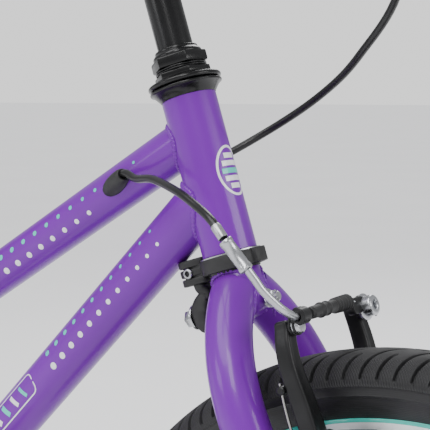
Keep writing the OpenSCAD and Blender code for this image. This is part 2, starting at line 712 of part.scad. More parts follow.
module locknut() {
    color("black") at_steering() difference() {
        translate([0, 0, 19.5]) union() {
            hex(31, 6.5);
            turned([[0, 6.4], [15.4, 6.4], [14.6, 8.6], [12.8, 10.6], [11.4, stack_h - 19.5],
                [0, stack_h - 19.5]]);
        }
        cylinder(h = 24.2, r = steerer_r + fit);
        cylinder(h = 60, r = steerer_in_r);
    }
}
// ---- stem, handlebar and lever ----
quill_l = stem_rise + 34;
bolt_r = 4;
module stem() {
    color("black") difference() {
        union() {
            rod(on_steering(quill_l - stem_rise), on_steering(-stem_rise), quill_d / 2);
            translate(on_steering(-stem_rise)) rotate([0, head_angle - 90, 0])
                cylinder(h = 26, r = 14, center = true);
            rod(on_steering(-stem_rise), bar_centre, 12.5);
            y_rod(bar_centre, 19, 40);
        }
        rod(on_steering(quill_l - stem_rise + 1), on_steering(-stem_rise - 40), bolt_r + seat_gap);
        y_rod(bar_centre, clamp_r + fit, 60);
        translate(bar_centre) rotate([0, head_angle - 90, 0]) {
            translate([0, -30, -1]) cube([30, 60, 2]);
            translate([23, 0, 0]) cylinder(h = 60, r = 3.2, center = true);
        }
    }
}
module stem_bolts() {
    color("silver") {
        rod(on_steering(quill_l - stem_rise + 20), on_steering(-stem_rise - 13.1), bolt_r);
        at_steering() translate([0, 0, stem_rise + 13.1]) hex(13, 7);
        difference() {
            rod(on_steering(quill_l - stem_rise + 2), on_steering(quill_l - stem_rise + 26), quill_d / 2);
            at_steering() translate([0, 0, -quill_l + stem_rise - 2]) rotate([0, 30, 0])
                translate([-40, -40, 0]) cube(80);
        }
    }
}
module handlebar() {
    color("black") {
        pipe([[bar_end[0], -bar_end[1], bar_end[2]], [bar_bend[0], -bar_bend[1], bar_bend[2]],
            bar_centre - [0, 34, 0], bar_centre + [0, 34, 0], bar_bend, bar_end], bar_r, 45);
        y_rod(bar_centre, clamp_r, 50);
    }
}
grip_start = norm(bar_end - bar_bend) - grip_l;
module grips() {
    color("black") both_sides() on_bar() difference() {
        union() {
            translate([0, 0, grip_start]) cylinder(h = grip_l + 4, r = 15.5);
            translate([0, 0, grip_start]) cylinder(h = 4, r = 20);
            translate([0, 0, grip_start + grip_l]) cylinder(h = 4, r = 17);
        }
        translate([0, 0, grip_start - 1]) cylinder(h = grip_l + 1, r = bar_r + fit);
    }
}
lever_at = grip_start - 14;
lever_reach = 30;
// frame on the right end of the bar: z runs outwards along it, x points down, y forwards
module on_right_bar() { mirror([0, 1, 0]) on_bar() translate([0, 0, lever_at]) mirror([0, 1, 0]) children(); }
module lever_bracket() {
    color("black") on_right_bar() {
        difference() {
            union() {
                cylinder(h = 13, r = bar_r + 4.5);
                translate([-6, 0, 0]) cube([12, lever_reach + 8, 11]);
                translate([0, lever_reach - 2, -22]) cylinder(h = 26, r = 5);
            }
            translate([0, 0, -1]) cylinder(h = 16, r = bar_r + seat_gap);
            translate([-2.6, lever_reach - 9, 0.2]) cube([5.2, 30, 40]);
            translate([0, lever_reach, 5.5]) rotate([0, 90, 0]) cylinder(h = 30, r = 2.5, center = true);
            translate([0, lever_reach - 2, -30]) cylinder(h = 50, r = 1.5);
        }
        translate([-8, lever_reach, 5.5]) rotate([0, 90, 0]) cylinder(h = 16, r = 2.45);
    }
}
module brake_lever() {
    color("black") on_right_bar() difference() {
        union() {
            translate([-2.3, lever_reach, 5.5]) rotate([0, 90, 0]) cylinder(h = 4.6, r = 5);
            rod([0, lever_reach, 7], [0, lever_reach + 13, 24], 2.3);
            translate([-2.3, lever_reach - 5, 4]) cube([4.6, 16, 14]);
            pipe([[0, lever_reach + 8, 14], [0, lever_reach + 15, 38], [0, lever_reach + 11, 96]], 4.6, 40);
            translate([0, lever_reach + 11, 96]) sphere(6.4);
        }
        translate([-5, lever_reach, 5.5]) rotate([0, 90, 0]) cylinder(h = 10, r = 2.5);
    }
}

// ---- wheels ----
// half-width of the tyre at a radius, from the crown of the tread down to the rim
function tyre_side(t) = let (r_wide = tyre_r - tyre_height * 0.4, r_low = rim_edge_r + 1)
    t < 90 ? [r_wide + (tyre_r - r_wide) * cos(t), tyre_w / 2 * sin(t)] :
    [r_wide - (r_wide - r_low) * (t - 90) / 90, rim_w / 2 + (tyre_w / 2 - rim_w / 2) * cos((t - 90) * 0.98)];
module tyre_section() {
    bead_y = rim_w / 2 - rim_wall - 0.2;
    out = [for (t = [0 : 10 : 180]) tyre_side(t)];
    inner = [for (t = [180 : -15 : 0])
        [tyre_side(t)[0] - 4 * cos(min(t, 90)), tyre_side(t)[1] * (1 - 3.2 / (tyre_w / 2))]];
    bead = [[rim_edge_r + 0.6, bead_y], [bead_d / 2 - 1, bead_y], [bead_d / 2 - 1, bead_y - 3]];
    half = concat(out, bead, inner);
    polygon(concat(half, [for (i = [len(half) - 2 : -1 : 1]) [half[i][0], -half[i][1]]]));
}
module spin() { rotate([90, 0, 0]) rotate_extrude($fn = 96) children(); }
module tyre(x) { color("black") at_wheel(x) spin() tyre_section(); }
valve_out = 24;
module inner_tube(x) {
    color("dimgray") at_wheel(x) {
        spin() translate([bead_d / 2 + 20.5, 0]) circle(tyre_height / 2 - 5.4);
        translate([0, 0, -bead_d / 2 - 12]) cylinder(h = 27 + valve_out, r = 3.1);
        translate([0, 0, -rim_in_r - 14]) cylinder(h = 9, r = 3.9);
    }
}
module rim(x) {
    side = rim_w / 2;
    bed = bead_d / 2 - 5.5;
    color("silver") at_wheel(x) difference() {
        spin() difference() {
            polygon([[rim_edge_r, side - rim_wall], [rim_edge_r, side], [bed - 5, side],
                [rim_in_r, side * 0.62], [rim_in_r, -side * 0.62], [bed - 5, -side], [rim_edge_r, -side],
                [rim_edge_r, rim_wall - side], [bed, rim_wall - side], [bed, side - rim_wall]]);
            polygon([[bed - rim_wall, side - 2.4], [bed - 5, side - 2.4], [rim_in_r + 2, side * 0.62 - 1],
                [rim_in_r + 2, 1 - side * 0.62], [bed - 5, 2.4 - side], [bed - rim_wall, 2.4 - side]]);
        }
        for (k = [0 : spoke_count - 1]) rotate([0, (k + 0.5) * 360 / spoke_count, 0])
            translate([0, 0, rim_in_r - 3]) cylinder(h = 24, r = 2.6, $fn = 24);
        translate([0, 0, -rim_edge_r]) cylinder(h = 40, r = 4.2, $fn = 24);
    }
}
flange_t = 3;
hole_inset = 4;
lace_turn = 4;          // spokes lean this many rim holes round the hub
thread_dish = 6;        // the flange beside the freewheel sits this much nearer the middle
function flange_y(hub_w, side, thread_to) =
    side * (hub_w / 2 - 19 - (side < 0 && thread_to > 0 ? thread_dish : 0));
function spoke_side(k) = k % 2 == 0 ? 1 : -1;
function spoke_lead(k) = floor(k / 2) % 2 == 0 ? 1 : -1;
function rim_angle(k) = (k + 0.5) * 360 / spoke_count;
function hub_hole(k, flange_r) = let (a = rim_angle(k) + spoke_lead(k) * lace_turn * 360 / spoke_count)
    (flange_r - hole_inset) * [sin(a), 0, cos(a)];
module spokes(x, hub_w, flange_r, thread_to = 0) {
    color("silver") at_wheel(x) for (k = [0 : spoke_count - 1]) {
        side = spoke_side(k);
        out = spoke_lead(k) * side;
        y = flange_y(hub_w, side, thread_to);
        hole = hub_hole(k, flange_r);
        reach = flange_t / 2 + spoke_d / 2 + (spoke_lead(k) > 0 ? 2.4 : 0.3);
        bend = hole + [0, y + out * reach, 0];
        end = (rim_in_r + 1) * [sin(rim_angle(k)), 0, cos(rim_angle(k))];
        far = reach + flange_t / 2 + 0.2;
        // wire and nipple in one turned shape, then the elbow and its head through the flange
        facing(bend, end - bend) stepped([[-1.2, spoke_d / 2], [norm(end - bend) - 9, 2],
            [norm(end - bend), 2.2], [norm(end - bend) + 4.5, 0]]);
        facing(bend, [0, -out, 0]) stepped([[-1.2, spoke_d / 2 + 0.15], [far, spoke_d * 0.9], [far + 1, 0]]);
    }
}
module hub(x, hub_w, flange_r, thread_to = 0) {
    color("dimgray") at_wheel(x) difference() {
        union() {
            y_rod([0, 0, 0], 13, hub_w - 38);
            for (side = [-1, 1]) {
                y = flange_y(hub_w, side, thread_to);
                y_rod([0, y, 0], flange_r, flange_t);
                y_rod([0, side * (hub_w / 2 - 14), 0], 14.5, 12);
                y_rod([0, y - side * 5, 0], 16, 8);
            }
            if (thread_to > 0)
                y_rod([0, -(chain_line - 8 + thread_to) / 2, 0], freewheel_in_r - 0.1,
                    thread_to - chain_line + 8);
        }
        y_rod([0, 0, 0], axle_r + 1.5, 2 * hub_w);
        both_sides() y_rod([0, hub_w / 2 - 6, 0], 9, 14);
        for (k = [0 : spoke_count - 1])
            y_rod(hub_hole(k, flange_r) + [0, flange_y(hub_w, spoke_side(k), thread_to), 0],
                spoke_d / 2 + 0.35, flange_t + 2, 16);
    }
}
front_flange_r = 22;
rear_flange_r = 27;
thread_end = chain_line + 3.5;
module front_tyre() { tyre(front_x); }
module rear_tyre() { tyre(rear_x); }
module front_tube() { inner_tube(front_x); }
module rear_tube() { inner_tube(rear_x); }
module front_rim() { rim(front_x); }
module rear_rim() { rim(rear_x); }
module front_spokes() { spokes(front_x, front_hub_w, front_flange_r); }
module rear_spokes() { spokes(rear_x, rear_hub_w, rear_flange_r, thread_end); }
module front_hub() { hub(front_x, front_hub_w, front_flange_r); }
module rear_hub() { hub(rear_x, rear_hub_w, rear_flange_r, thread_end); }

// ---- seat ----
rail_top = on_seat(saddle_h);
rail_r = 3.5;
rail_y = 20;
module seatpost() {
    color("silver") difference() {
        union() {
            rod(on_seat(seat_tube_l - 120), on_seat(saddle_h - 10), seatpost_d / 2);
            translate(rail_top - [0, 0, 7]) cube([34, 2 * rail_y + 12, 13.6], center = true);
            translate(rail_top + [0, 0, 3.6]) cube([34, 2 * rail_y + 12, 6.8], center = true);
        }
        rod(on_seat(seat_tube_l - 121), on_seat(saddle_h - 22), seatpost_d / 2 - 2);
        both_sides() translate(rail_top + [0, rail_y, 0]) rotate([0, 90, 0])
            cylinder(h = 60, r = rail_r + fit, center = true);
    }
}
module rail_shapes(r) {
    both_sides() pipe([rail_top + [saddle_l * 0.5, 8, 17], rail_top + [60, rail_y, 0],
        rail_top + [-52, rail_y, 0], rail_top + [-saddle_l * 0.32, 28, 22]], r, 30);
}
module saddle_rails() { color("gray") rail_shapes(rail_r); }
saddle_rise = 28;
saddle_tail = rail_top + [-saddle_l * 0.32, 0, saddle_rise];
saddle_nose = rail_top + [saddle_l * 0.58, 0, saddle_rise];
module saddle_base() {
    color("black") difference() {
        union() {
            hull() {
                for (side = [-1, 1]) translate(saddle_tail + [0, side * (saddle_w / 2 - 32), 0])
                    cylinder(h = 5, r = 30, $fn = 32);
                translate(saddle_nose - [14, 0, 0]) cylinder(h = 5, r = 14, $fn = 32);
            }
            translate(saddle_nose + [-27, -14, -14]) cube([16, 28, 14.2]);
            translate(saddle_tail + [-10, -36, -11]) cube([14, 72, 11.2]);
        }
        rail_shapes(rail_r + fit);
    }
}
module saddle_pad() {
    color("black") hull() {
        for (side = [-1, 1]) translate(saddle_tail + [0, side * (saddle_w / 2 - 36), 5.2]) {
            cylinder(h = 14, r = 33, $fn = 32);
            translate([0, 0, 8]) cylinder(h = 14, r = 24, $fn = 32);
        }
        translate(saddle_nose + [-17, 0, 5.2]) {
            cylinder(h = 12, r = 17, $fn = 32);
            cylinder(h = 17, r = 10, $fn = 32);
        }
    }
}

// ---- brakes, in the frame of their wheel: z up along the fork, x away from the frame ----
module arm_plate() {
    rotate([90, 0, 90]) linear_extrude(height = arm_t) {
        translate([pivot_y, pivot_z]) circle(9);
        translate([pivot_y, arm_top_z - 1]) circle(6);
        polygon([[pivot_y - 8, pivot_z], [pivot_y - 6.5, pad_z], [pivot_y - 2.5, pad_z + 28],
            [pivot_y - 5.6, arm_top_z], [pivot_y + 5.6, arm_top_z], [pivot_y + 8.5, pad_z + 30],
            [pivot_y + 6.5, pad_z], [pivot_y + 8.5, pivot_z]]);
    }
}
pad_face_y = rim_w / 2 + pad_gap;
module arm() {
    difference() {
        translate([arm_x, 0, 0]) arm_plate();
        translate([0, pivot_y, pivot_z]) rotate([0, 90, 0]) cylinder(h = 60, r = post_r + fit);
        y_rod([pad_x, pivot_y, pad_z], 3 + fit, 40);
    }
}
// pad on its stud, with the washers and the nut outside the arm
module pad() {
    translate([pad_x, pad_face_y + 9.5, pad_z]) rotate([90, 0, 0]) linear_extrude(height = 9.5) {
        square([50, 9.6], center = true);
        for (k = [-1, 1]) translate([25 * k, 0]) circle(4.8);
    }
    y_rod([pad_x, pad_face_y + 9 + 16, pad_z], 3, 34);
    y_rod([pad_x, (pad_face_y + 9.4 + pivot_y - 6.9) / 2, pad_z], 7, pivot_y - 16.4 - pad_face_y);
    y_rod([pad_x, pivot_y + 9.4, pad_z], 6.5, 5);
}
// cradle and noodle that bring the cable to the arm on the cable's side
module noodle() {
    pipe([noodle_start, [noodle_x + 2, -pivot_y - 21, noodle_z],
        [noodle_x, -pivot_y + 7, noodle_z]], 2.4, 28);
    rod(noodle_start, noodle_top, 3.6);
}
// pivot pins, cradle and anchor of the arms
module pivot_bolt() {
    translate([arm_x + arm_t + 1.1, pivot_y, pivot_z]) rotate([0, 90, 0]) cylinder(h = 3.5, r = 6.5);
}
module link_side() {
    mirror([0, 1, 0]) {
        translate([arm_x + arm_t, pivot_y, arm_top_z - 1]) rotate([0, 90, 0]) cylinder(h = 5, r = 4.5);
        translate([arm_x + arm_t, pivot_y - 5, arm_top_z - 2]) cube([2.5, 10, 12]);
    }
    difference() {
        translate([noodle_x - 4, -pivot_y - 4, noodle_z - 4.6]) cube([8, 9, 8.6]);
        y_rod([noodle_x, -pivot_y, noodle_z], 2.4, 60);
    }
    noodle();
}
module anchor_side() {
    translate([arm_x + arm_t, pivot_y, arm_top_z - 1]) rotate([0, 90, 0]) {
        cylinder(h = 1.8, r = 8.2);
        cylinder(h = 6.6, r = 5.6);
    }
}
module boot() {
    rod([noodle_x, 7.3 - pivot_y, noodle_z], [noodle_x, pivot_y - 23.5, noodle_z], 2.9, 4.2);
}
module front_arm_right() {
    color("dimgray") at_front_brake() {
        mirror([0, 1, 0]) {
            arm();
            pivot_bolt();
        }
        link_side();
        boot();
    }
}
module front_arm_left() {
    color("dimgray") at_front_brake() {
        arm();
        pivot_bolt();
        anchor_side();
    }
}
module front_pad_right() { color("gray") at_front_brake() mirror([0, 1, 0]) pad(); }
module front_pad_left() { color("gray") at_front_brake() pad(); }
module rear_arm_right() {
    color("dimgray") at_rear_brake() {
        arm();
        pad();
        pivot_bolt();
        anchor_side();
    }
}
module rear_arm_left() {
    color("dimgray") at_rear_brake() {
        mirror([0, 1, 0]) {
            arm();
            pad();
            pivot_bolt();
        }
        link_side();
    }
}

// ---- cables, each one housing along its route ----
module lever_cable() { color("black") swept(lever_route, cable_d / 2); }
module front_cable() { color("black") swept(front_route, cable_d / 2); }

head_tube();
top_tube();
down_tube();
seat_tube();
bottom_bracket_shell();
chainstays();
seatstays();
head_badge();
headset_cups();
headset_bearings();
limiter_clamp();
limiter_strap();
cable_ports();
seat_collar();
bottom_bracket_cups();
rear_axle();
chain();
lever_cable();
front_cable();
fork_steerer();
fork_legs();
crown_race();
adjusting_race();
lock_washer();
locknut();
limiter_bolt();
stem();
stem_bolts();
handlebar();
grips();
lever_bracket();
front_axle();
brake_lever();
front_tyre();
front_tube();
front_rim();
front_spokes();
front_hub();
rear_tyre();
rear_tube();
rear_rim();
rear_spokes();
rear_hub();
freewheel();
crank_spindle();
crank_arms();
chainring();
pedal_axles();
right_pedal();
left_pedal();
seatpost();
saddle_rails();
saddle_base();
saddle_pad();
front_arm_right();
front_arm_left();
front_pad_right();
front_pad_left();
rear_arm_right();
rear_arm_left();
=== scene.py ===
"""Looks of a kids' 20-inch single-speed bike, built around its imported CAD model.

Shapes are surfaces worked out with numpy: a profile turned round an axis, a section carried along a path,
or a grid of two parameters. A Place is a local frame set up from the joints' axes. Its points are in
millimetres, and calling it turns them into the bike's frame, in metres.
"""
import json
import math

import bpy
import numpy as np
from mathutils import Matrix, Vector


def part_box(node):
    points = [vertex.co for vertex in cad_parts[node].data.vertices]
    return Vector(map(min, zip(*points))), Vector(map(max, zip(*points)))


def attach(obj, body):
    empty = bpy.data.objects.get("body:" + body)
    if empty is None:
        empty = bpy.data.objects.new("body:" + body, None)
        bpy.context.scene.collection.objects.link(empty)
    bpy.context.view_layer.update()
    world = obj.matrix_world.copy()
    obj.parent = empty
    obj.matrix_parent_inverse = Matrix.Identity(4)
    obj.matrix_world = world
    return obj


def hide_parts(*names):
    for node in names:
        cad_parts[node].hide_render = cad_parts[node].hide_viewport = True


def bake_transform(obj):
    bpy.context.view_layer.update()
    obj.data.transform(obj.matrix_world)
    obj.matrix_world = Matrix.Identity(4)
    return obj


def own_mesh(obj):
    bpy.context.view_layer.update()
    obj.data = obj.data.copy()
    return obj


bl_info = {
    "name": "Kids' bike looks",
    "version": (1, 0, 0),
    "blender": (4, 5, 0),
    "location": "3D View > Sidebar > Bike",
    "description": "Builds the visible pieces and materials of a kids' 20-inch bike around its CAD frame",
    "category": "Object",
}

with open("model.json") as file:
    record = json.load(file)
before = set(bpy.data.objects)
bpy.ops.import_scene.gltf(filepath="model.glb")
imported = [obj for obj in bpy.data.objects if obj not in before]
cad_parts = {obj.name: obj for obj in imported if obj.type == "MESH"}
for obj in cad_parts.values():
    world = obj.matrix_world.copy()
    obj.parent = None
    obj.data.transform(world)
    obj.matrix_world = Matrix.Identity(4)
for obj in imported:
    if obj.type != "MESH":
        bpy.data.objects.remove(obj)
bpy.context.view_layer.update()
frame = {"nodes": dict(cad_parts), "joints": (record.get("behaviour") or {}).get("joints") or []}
JOINTS = {joint["name"]: joint for joint in frame["joints"]}
MM = 0.001


# ---------------------------------------------------------------- places
class Place:
    """A local frame: an origin and three axes, x, y and z, in the bike's frame."""

    def __init__(self, origin, x, y, z):
        self.origin = np.array(origin, float)
        self.axes = np.array([x, y, z], float)

    def __call__(self, points):
        """Local points, in millimetres, to the bike's frame, in metres."""
        return self.origin + (np.asarray(points, float) * MM) @ self.axes

    def moved(self, offset, x=None, y=None, z=None):
        """The same frame from another local point, in millimetres, with other axes if given."""
        own = self.axes
        turned = [old if new is None else np.asarray(new, float) @ own for old, new in zip(own, (x, y, z))]
        return Place(self(offset), *turned)

    def forward(self, offset):
        """A place at a local point, with its z along the old x and its x along the old y."""
        return self.moved(offset, x=(0, 1, 0), y=(0, 0, 1), z=(1, 0, 0))

    def sideways(self, offset, side):
        """A place at a local point, with its z along the old y, or against it when side is -1."""
        return self.moved(offset, x=(1, 0, 0), y=(0, 0, -side), z=(0, side, 0))


def unit(v):
    """A vector divided by its length."""
    v = np.asarray(v, float)
    return v / np.linalg.norm(v)


def towards(origin, z, near=(0.0, 0.0, 1.0)):
    """A place whose z points along the given direction, and whose x lies nearest to another one."""
    z = unit(z)
    near = np.asarray(near, float)
    if abs(near @ z) > 0.95:
        near = np.array([1.0, 0.0, 0.0])
    x = unit(near - (near @ z) * z)
    return Place(origin, x, np.cross(z, x), z)


def facing_right(origin):
    """A place at a point in metres whose z runs to the bike's right, as its axles do."""
    return Place(origin, (1, 0, 0), (0, 0, 1), (0, -1, 0))


UP = np.array(JOINTS["steering_turn"]["axis"], float)
AHEAD = np.array([UP[2], 0.0, -UP[0]])
SIDE = np.array([0.0, 1.0, 0.0])
BIKE = Place((0, 0, 0), (1, 0, 0), (0, 1, 0), (0, 0, 1))
HEAD = Place(JOINTS["steering_turn"]["pos_m"], AHEAD, SIDE, UP)
FRONT_AXLE = np.array(JOINTS["front_wheel_spin"]["pos_m"])
REAR_AXLE = np.array(JOINTS["rear_wheel_spin"]["pos_m"])
CRANK = np.array(JOINTS["crank_spin"]["pos_m"])
FRONT_BRAKE = Place(FRONT_AXLE, AHEAD, SIDE, UP)
REAR_X = unit(JOINTS["rear_right_arm"]["axis"])
REAR_BRAKE = Place(REAR_AXLE, REAR_X, -SIDE, np.array([REAR_X[2], 0.0, -REAR_X[0]]))
FRONT_WHEEL = facing_right(FRONT_AXLE)
REAR_WHEEL = facing_right(REAR_AXLE)
TYRE_R = FRONT_AXLE[2] / MM
HEAD_LENGTH = 98.7
TUBE_SLOPE = math.radians(30.9)
TOP_DROP, DOWN_DROP = 23, 59
TOP_JOINT = HEAD.origin - TOP_DROP * MM * UP
DOWN_JOINT = HEAD.origin - DOWN_DROP * MM * UP
TOP_DIR = np.array([-math.cos(TUBE_SLOPE), 0.0, -math.sin(TUBE_SLOPE)])
SEAT_DIR = np.array(JOINTS["seat_height"]["axis"], float)
TOP_LENGTH = (SEAT_DIR[2] * (TOP_JOINT - CRANK)[0] - SEAT_DIR[0] * (TOP_JOINT - CRANK)[2]) / (
    SEAT_DIR[0] * TOP_DIR[2] - SEAT_DIR[2] * TOP_DIR[0])


# ---------------------------------------------------------------- surfaces
class Shell:
    """Gathers surfaces, each a grid of points with numbered materials, into one mesh."""

    def __init__(self):
        self.points, self.faces, self.paints, self.count = [], [], [], 0

    def grid(self, points, wrap_u=False, wrap_v=True, caps="", paint=0, flip=False):
        """Adds a grid of u rows by v columns. caps may hold "0" and "1" for flat ends."""
        points = np.asarray(points, float)
        rows, columns = points.shape[:2]
        u = np.arange(rows if wrap_u else rows - 1)
        v = np.arange(columns if wrap_v else columns - 1)
        a, b = np.meshgrid(u, v, indexing="ij")
        a2, b2 = (a + 1) % rows, (b + 1) % columns
        quads = np.stack([a * columns + b, a * columns + b2, a2 * columns + b2, a2 * columns + b], -1)
        quads = quads.reshape(-1, 4) + self.count
        ends = []
        if "0" in caps:
            ends.append(np.arange(columns)[::-1] + self.count)
        if "1" in caps:
            ends.append(np.arange(columns) + self.count + (rows - 1) * columns)
        if flip:
            quads = quads[:, ::-1]
            ends = [end[::-1] for end in ends]
        self.points.append(points.reshape(-1, 3))
        self.faces += quads.tolist() + [end.tolist() for end in ends]
        self.paints += [paint] * (len(quads) + len(ends))
        self.count += rows * columns
        return self

    def turned(self, place, profile, sides=48, paint=0, wrap=False):
        """Turns a profile of [radius, height] pairs, in millimetres, round the place's z axis."""
        profile = np.asarray(profile, float)
        a = around(sides)
        ring = np.stack([np.cos(a), np.sin(a)], -1)
        points = np.concatenate([profile[:, None, :1] * ring, np.repeat(profile[:, None, 1:], sides, 1)], -1)
        return self.grid(place(points), wrap_u=wrap, caps="" if wrap else "01", paint=paint)

    def swept(self, path, radius, sides=16, paint=0, closed=False):
        """Carries a circle along a path in metres. radius is one number or one for each point."""
        path = np.asarray(path, float)
        x, y = carried(path, closed)
        a = around(sides)[None, :, None]
        radius = (np.broadcast_to(radius, len(path)) * MM)[:, None, None]
        points = path[:, None] + radius * (np.cos(a) * x[:, None] + np.sin(a) * y[:, None])
        return self.grid(points, wrap_u=closed, caps="" if closed else "01", paint=paint)

    def slab(self, place, outline, height, bevel=0.6, paint=0, base=0.0, steps=2):
        """Raises an outline of [x, y] pairs along z, with its edges rounded by insetting the end rings."""
        outline = np.asarray(outline, float)
        turn = np.linspace(0, math.pi / 2, steps + 1)
        inset = np.concatenate([bevel * (1 - np.sin(turn)), bevel * (1 - np.cos(turn))])
        z = np.concatenate([base + bevel * (1 - np.cos(turn)), base + height - bevel * (1 - np.sin(turn))])
        step_in = inward(outline)
        rings = outline[None] + inset[:, None, None] * step_in[None]
        points = np.concatenate([rings, np.broadcast_to(z[:, None, None], rings.shape[:2] + (1,))], -1)
        return self.grid(place(points), caps="01", paint=paint)

    def build(self, name, body, paints, slot=None, nodes=(), crease=38, bend=()):
        """Makes the object and hides the CAD nodes that it stands for. It rides on its body, or, when bend is
        given, it is left in the bike's frame on no body."""
        mesh = bpy.data.meshes.new(name)
        mesh.from_pydata(np.concatenate(self.points).tolist(), [], self.faces)
        for paint in paints if isinstance(paints, (list, tuple)) else [paints]:
            mesh.materials.append(paint)
        mesh.polygons.foreach_set("material_index", self.paints)
        mesh.validate()
        mesh.shade_smooth()
        mesh.set_sharp_from_angle(angle=math.radians(crease))
        piece = bpy.data.objects.new(name, mesh)
        bpy.context.scene.collection.objects.link(piece)
        if bend:
            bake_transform(piece)
        else:
            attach(piece, body)
        if nodes:
            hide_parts(*nodes)
        return piece


def around(count):
    """Angles spaced evenly round a whole turn."""
    return np.linspace(0, 2 * math.pi, count, endpoint=False)


def directions(path):
    """The unit direction of a path at each of its points."""
    along = np.gradient(path, axis=0)
    return along / np.linalg.norm(along, axis=1, keepdims=True)


def soft_box(a, power=0.45):
    """A circle's angles to the outline of a box with round corners, one unit each way."""
    c, s = np.cos(a), np.sin(a)
    return np.sign(c) * np.abs(c) ** power, np.sign(s) * np.abs(s) ** power


def sections(line, first, second, wide, deep, x, y):
    """A flat outline carried along a line: its x, times wide, goes along the first of two directions, and
    its y, times deep, along the second."""
    return (line[:, None] + (wide[:, None] * x)[..., None] * first[:, None]
            + (deep[:, None] * y)[..., None] * second[:, None])


def inward(outline):
    """Each corner's step towards the inside for a unit inset: the bisector, lengthened at sharp corners."""
    back = outline - np.roll(outline, 1, 0)
    ahead = np.roll(outline, -1, 0) - outline
    normals = []
    for edge in (back, ahead):
        length = np.maximum(np.linalg.norm(edge, axis=1, keepdims=True), 1e-9)
        normals.append(np.stack([-edge[:, 1], edge[:, 0]], -1) / length)
    middle = normals[0] + normals[1]
    scale = np.maximum(1 + (normals[0] * normals[1]).sum(1, keepdims=True), 0.5)
    return middle / scale


def carried(path, closed=False):
    """Two unit vectors across a path at each point, carried along it with no twist."""
    if closed:
        along = np.roll(path, -1, 0) - np.roll(path, 1, 0)
    else:
        along = np.gradient(path, axis=0)
    along /= np.linalg.norm(along, axis=1, keepdims=True)
    seed = np.array([0.08, 0.15, 1.0])
    xs = []
    for direction in along:
        seed = seed - (seed @ direction) * direction
        seed = seed / np.linalg.norm(seed)
        xs.append(seed)
    xs = np.array(xs)
    ys = np.cross(along, xs)
    if closed:
        last = xs[-1] - (xs[-1] @ along[0]) * along[0]
        twist = math.atan2(last @ ys[0], last @ xs[0])
        back = -twist * np.linspace(0, 1, len(path), endpoint=False)[:, None]
        xs, ys = xs * np.cos(back) + ys * np.sin(back), ys * np.cos(back) - xs * np.sin(back)
    return xs, ys


def smooth_path(route, steps=6):
    """A Catmull-Rom curve through a route's points."""
    p = np.asarray(route, float)
    p = np.concatenate([p[:1], p, p[-1:]])
    t = np.linspace(0, 1, steps, endpoint=False)[:, None]
    parts = []
    for a, b, c, d in zip(p[:-3], p[1:-2], p[2:-1], p[3:]):
        parts.append(0.5 * (2 * b + (c - a) * t + (2 * a - 5 * b + 4 * c - d) * t ** 2
                            + (3 * b - a - 3 * c + d) * t ** 3))
    return np.concatenate(parts + [p[-2:-1]])


def rounded_path(points, bend, step=8):
    """Straight stretches joined by round bends of one radius, which is in the points' own unit."""
    p = [np.asarray(point, float) for point in points]
    path = [p[0]]
    for before, corner, after in zip(p[:-2], p[1:-1], p[2:]):
        a, b = unit(corner - before), unit(after - corner)
        turn = math.acos(np.clip(a @ b, -1, 1))
        m = unit(b - (b @ a) * a)
        centre = corner - a * bend * math.tan(turn / 2) + m * bend
        count = max(2, math.ceil(math.degrees(turn) / step))
        for k in np.linspace(0, turn, count + 1):
            path.append(centre + bend * (a * math.sin(k) - m * math.cos(k)))
    return np.array(path + [p[-1]])


def dense(path, gap):
    """The same path with points no further apart than the gap."""
    path = np.asarray(path, float)
    parts = []
    for a, b in zip(path[:-1], path[1:]):
        count = max(1, math.ceil(np.linalg.norm(b - a) / gap))
        parts.append(a + (b - a) * np.linspace(0, 1, count, endpoint=False)[:, None])
    return np.concatenate(parts + [path[-1:]])


def circle(radius, sides=32, centre=(0, 0), start=0.0, end=360.0):
    """Points round a circle or an arc; a whole circle leaves out its repeated last point."""
    whole = abs(end - start) >= 360
    a = np.radians(np.linspace(start, end, sides, endpoint=not whole))
    return np.asarray(centre, float) + radius * np.stack([np.cos(a), np.sin(a)], -1)


def hexagon(flats):
    """A hexagon of the given width across its flats, its corners slightly rounded."""
    corners = circle(flats / 2 / math.cos(math.radians(30)), 6)
    parts = []
    for back, corner, ahead in zip(np.roll(corners, 1, 0), corners, np.roll(corners, -1, 0)):
        parts += [corner + 0.06 * (back - corner), corner, corner + 0.06 * (ahead - corner)]
    parts = np.array(parts)
    parts[1::3] *= 0.99
    return parts


def rounded_box(width, depth, corner, sides=5):
    """Outline of a rectangle with round corners."""
    parts = []
    for x, y, start in ((1, 1, 0), (-1, 1, 90), (-1, -1, 180), (1, -1, 270)):
        centre = (x * (width / 2 - corner), y * (depth / 2 - corner))
        parts.append(circle(corner, sides, centre, start, start + 90))
    return np.concatenate(parts)


def joint_curve(small, small_r, big, big_r, sides=96, inside=0.0, sign=1):
    """Where a small tube's wall meets a big one, round the small tube's axis: each wall line of the
    small tube is followed to the circle, so its distance along is the root of a quadratic."""
    a = around(sides)[:, None]
    wall = small.origin + small_r * MM * (np.cos(a) * small.axes[0] + np.sin(a) * small.axes[1])
    ray = small.axes[2]
    from_axis = wall - big.origin
    flat = from_axis - (from_axis @ big.axes[2])[:, None] * big.axes[2]
    flat_ray = ray - (ray @ big.axes[2]) * big.axes[2]
    qa = flat_ray @ flat_ray
    qb = flat @ flat_ray
    qc = (flat * flat).sum(1) - ((big_r - inside) * MM) ** 2
    t = (-qb + sign * np.sqrt(np.maximum(qb * qb - qa * qc, 0))) / qa
    return wall + t[:, None] * ray


def weld(shell, small, small_r, big, big_r, width=2.0, ripples=46, inside=0.0, sign=1):
    """A rippled bead round the joint of two tubes."""
    path = joint_curve(small, small_r, big, big_r, ripples * 5, inside, sign)
    a = np.linspace(0, ripples * 2 * math.pi, len(path), endpoint=False)
    radius = width * (0.92 + 0.10 * np.sin(a) + 0.05 * np.sin(a * 0.37 + 1.0))
    return shell.swept(path, radius, sides=10, closed=True)


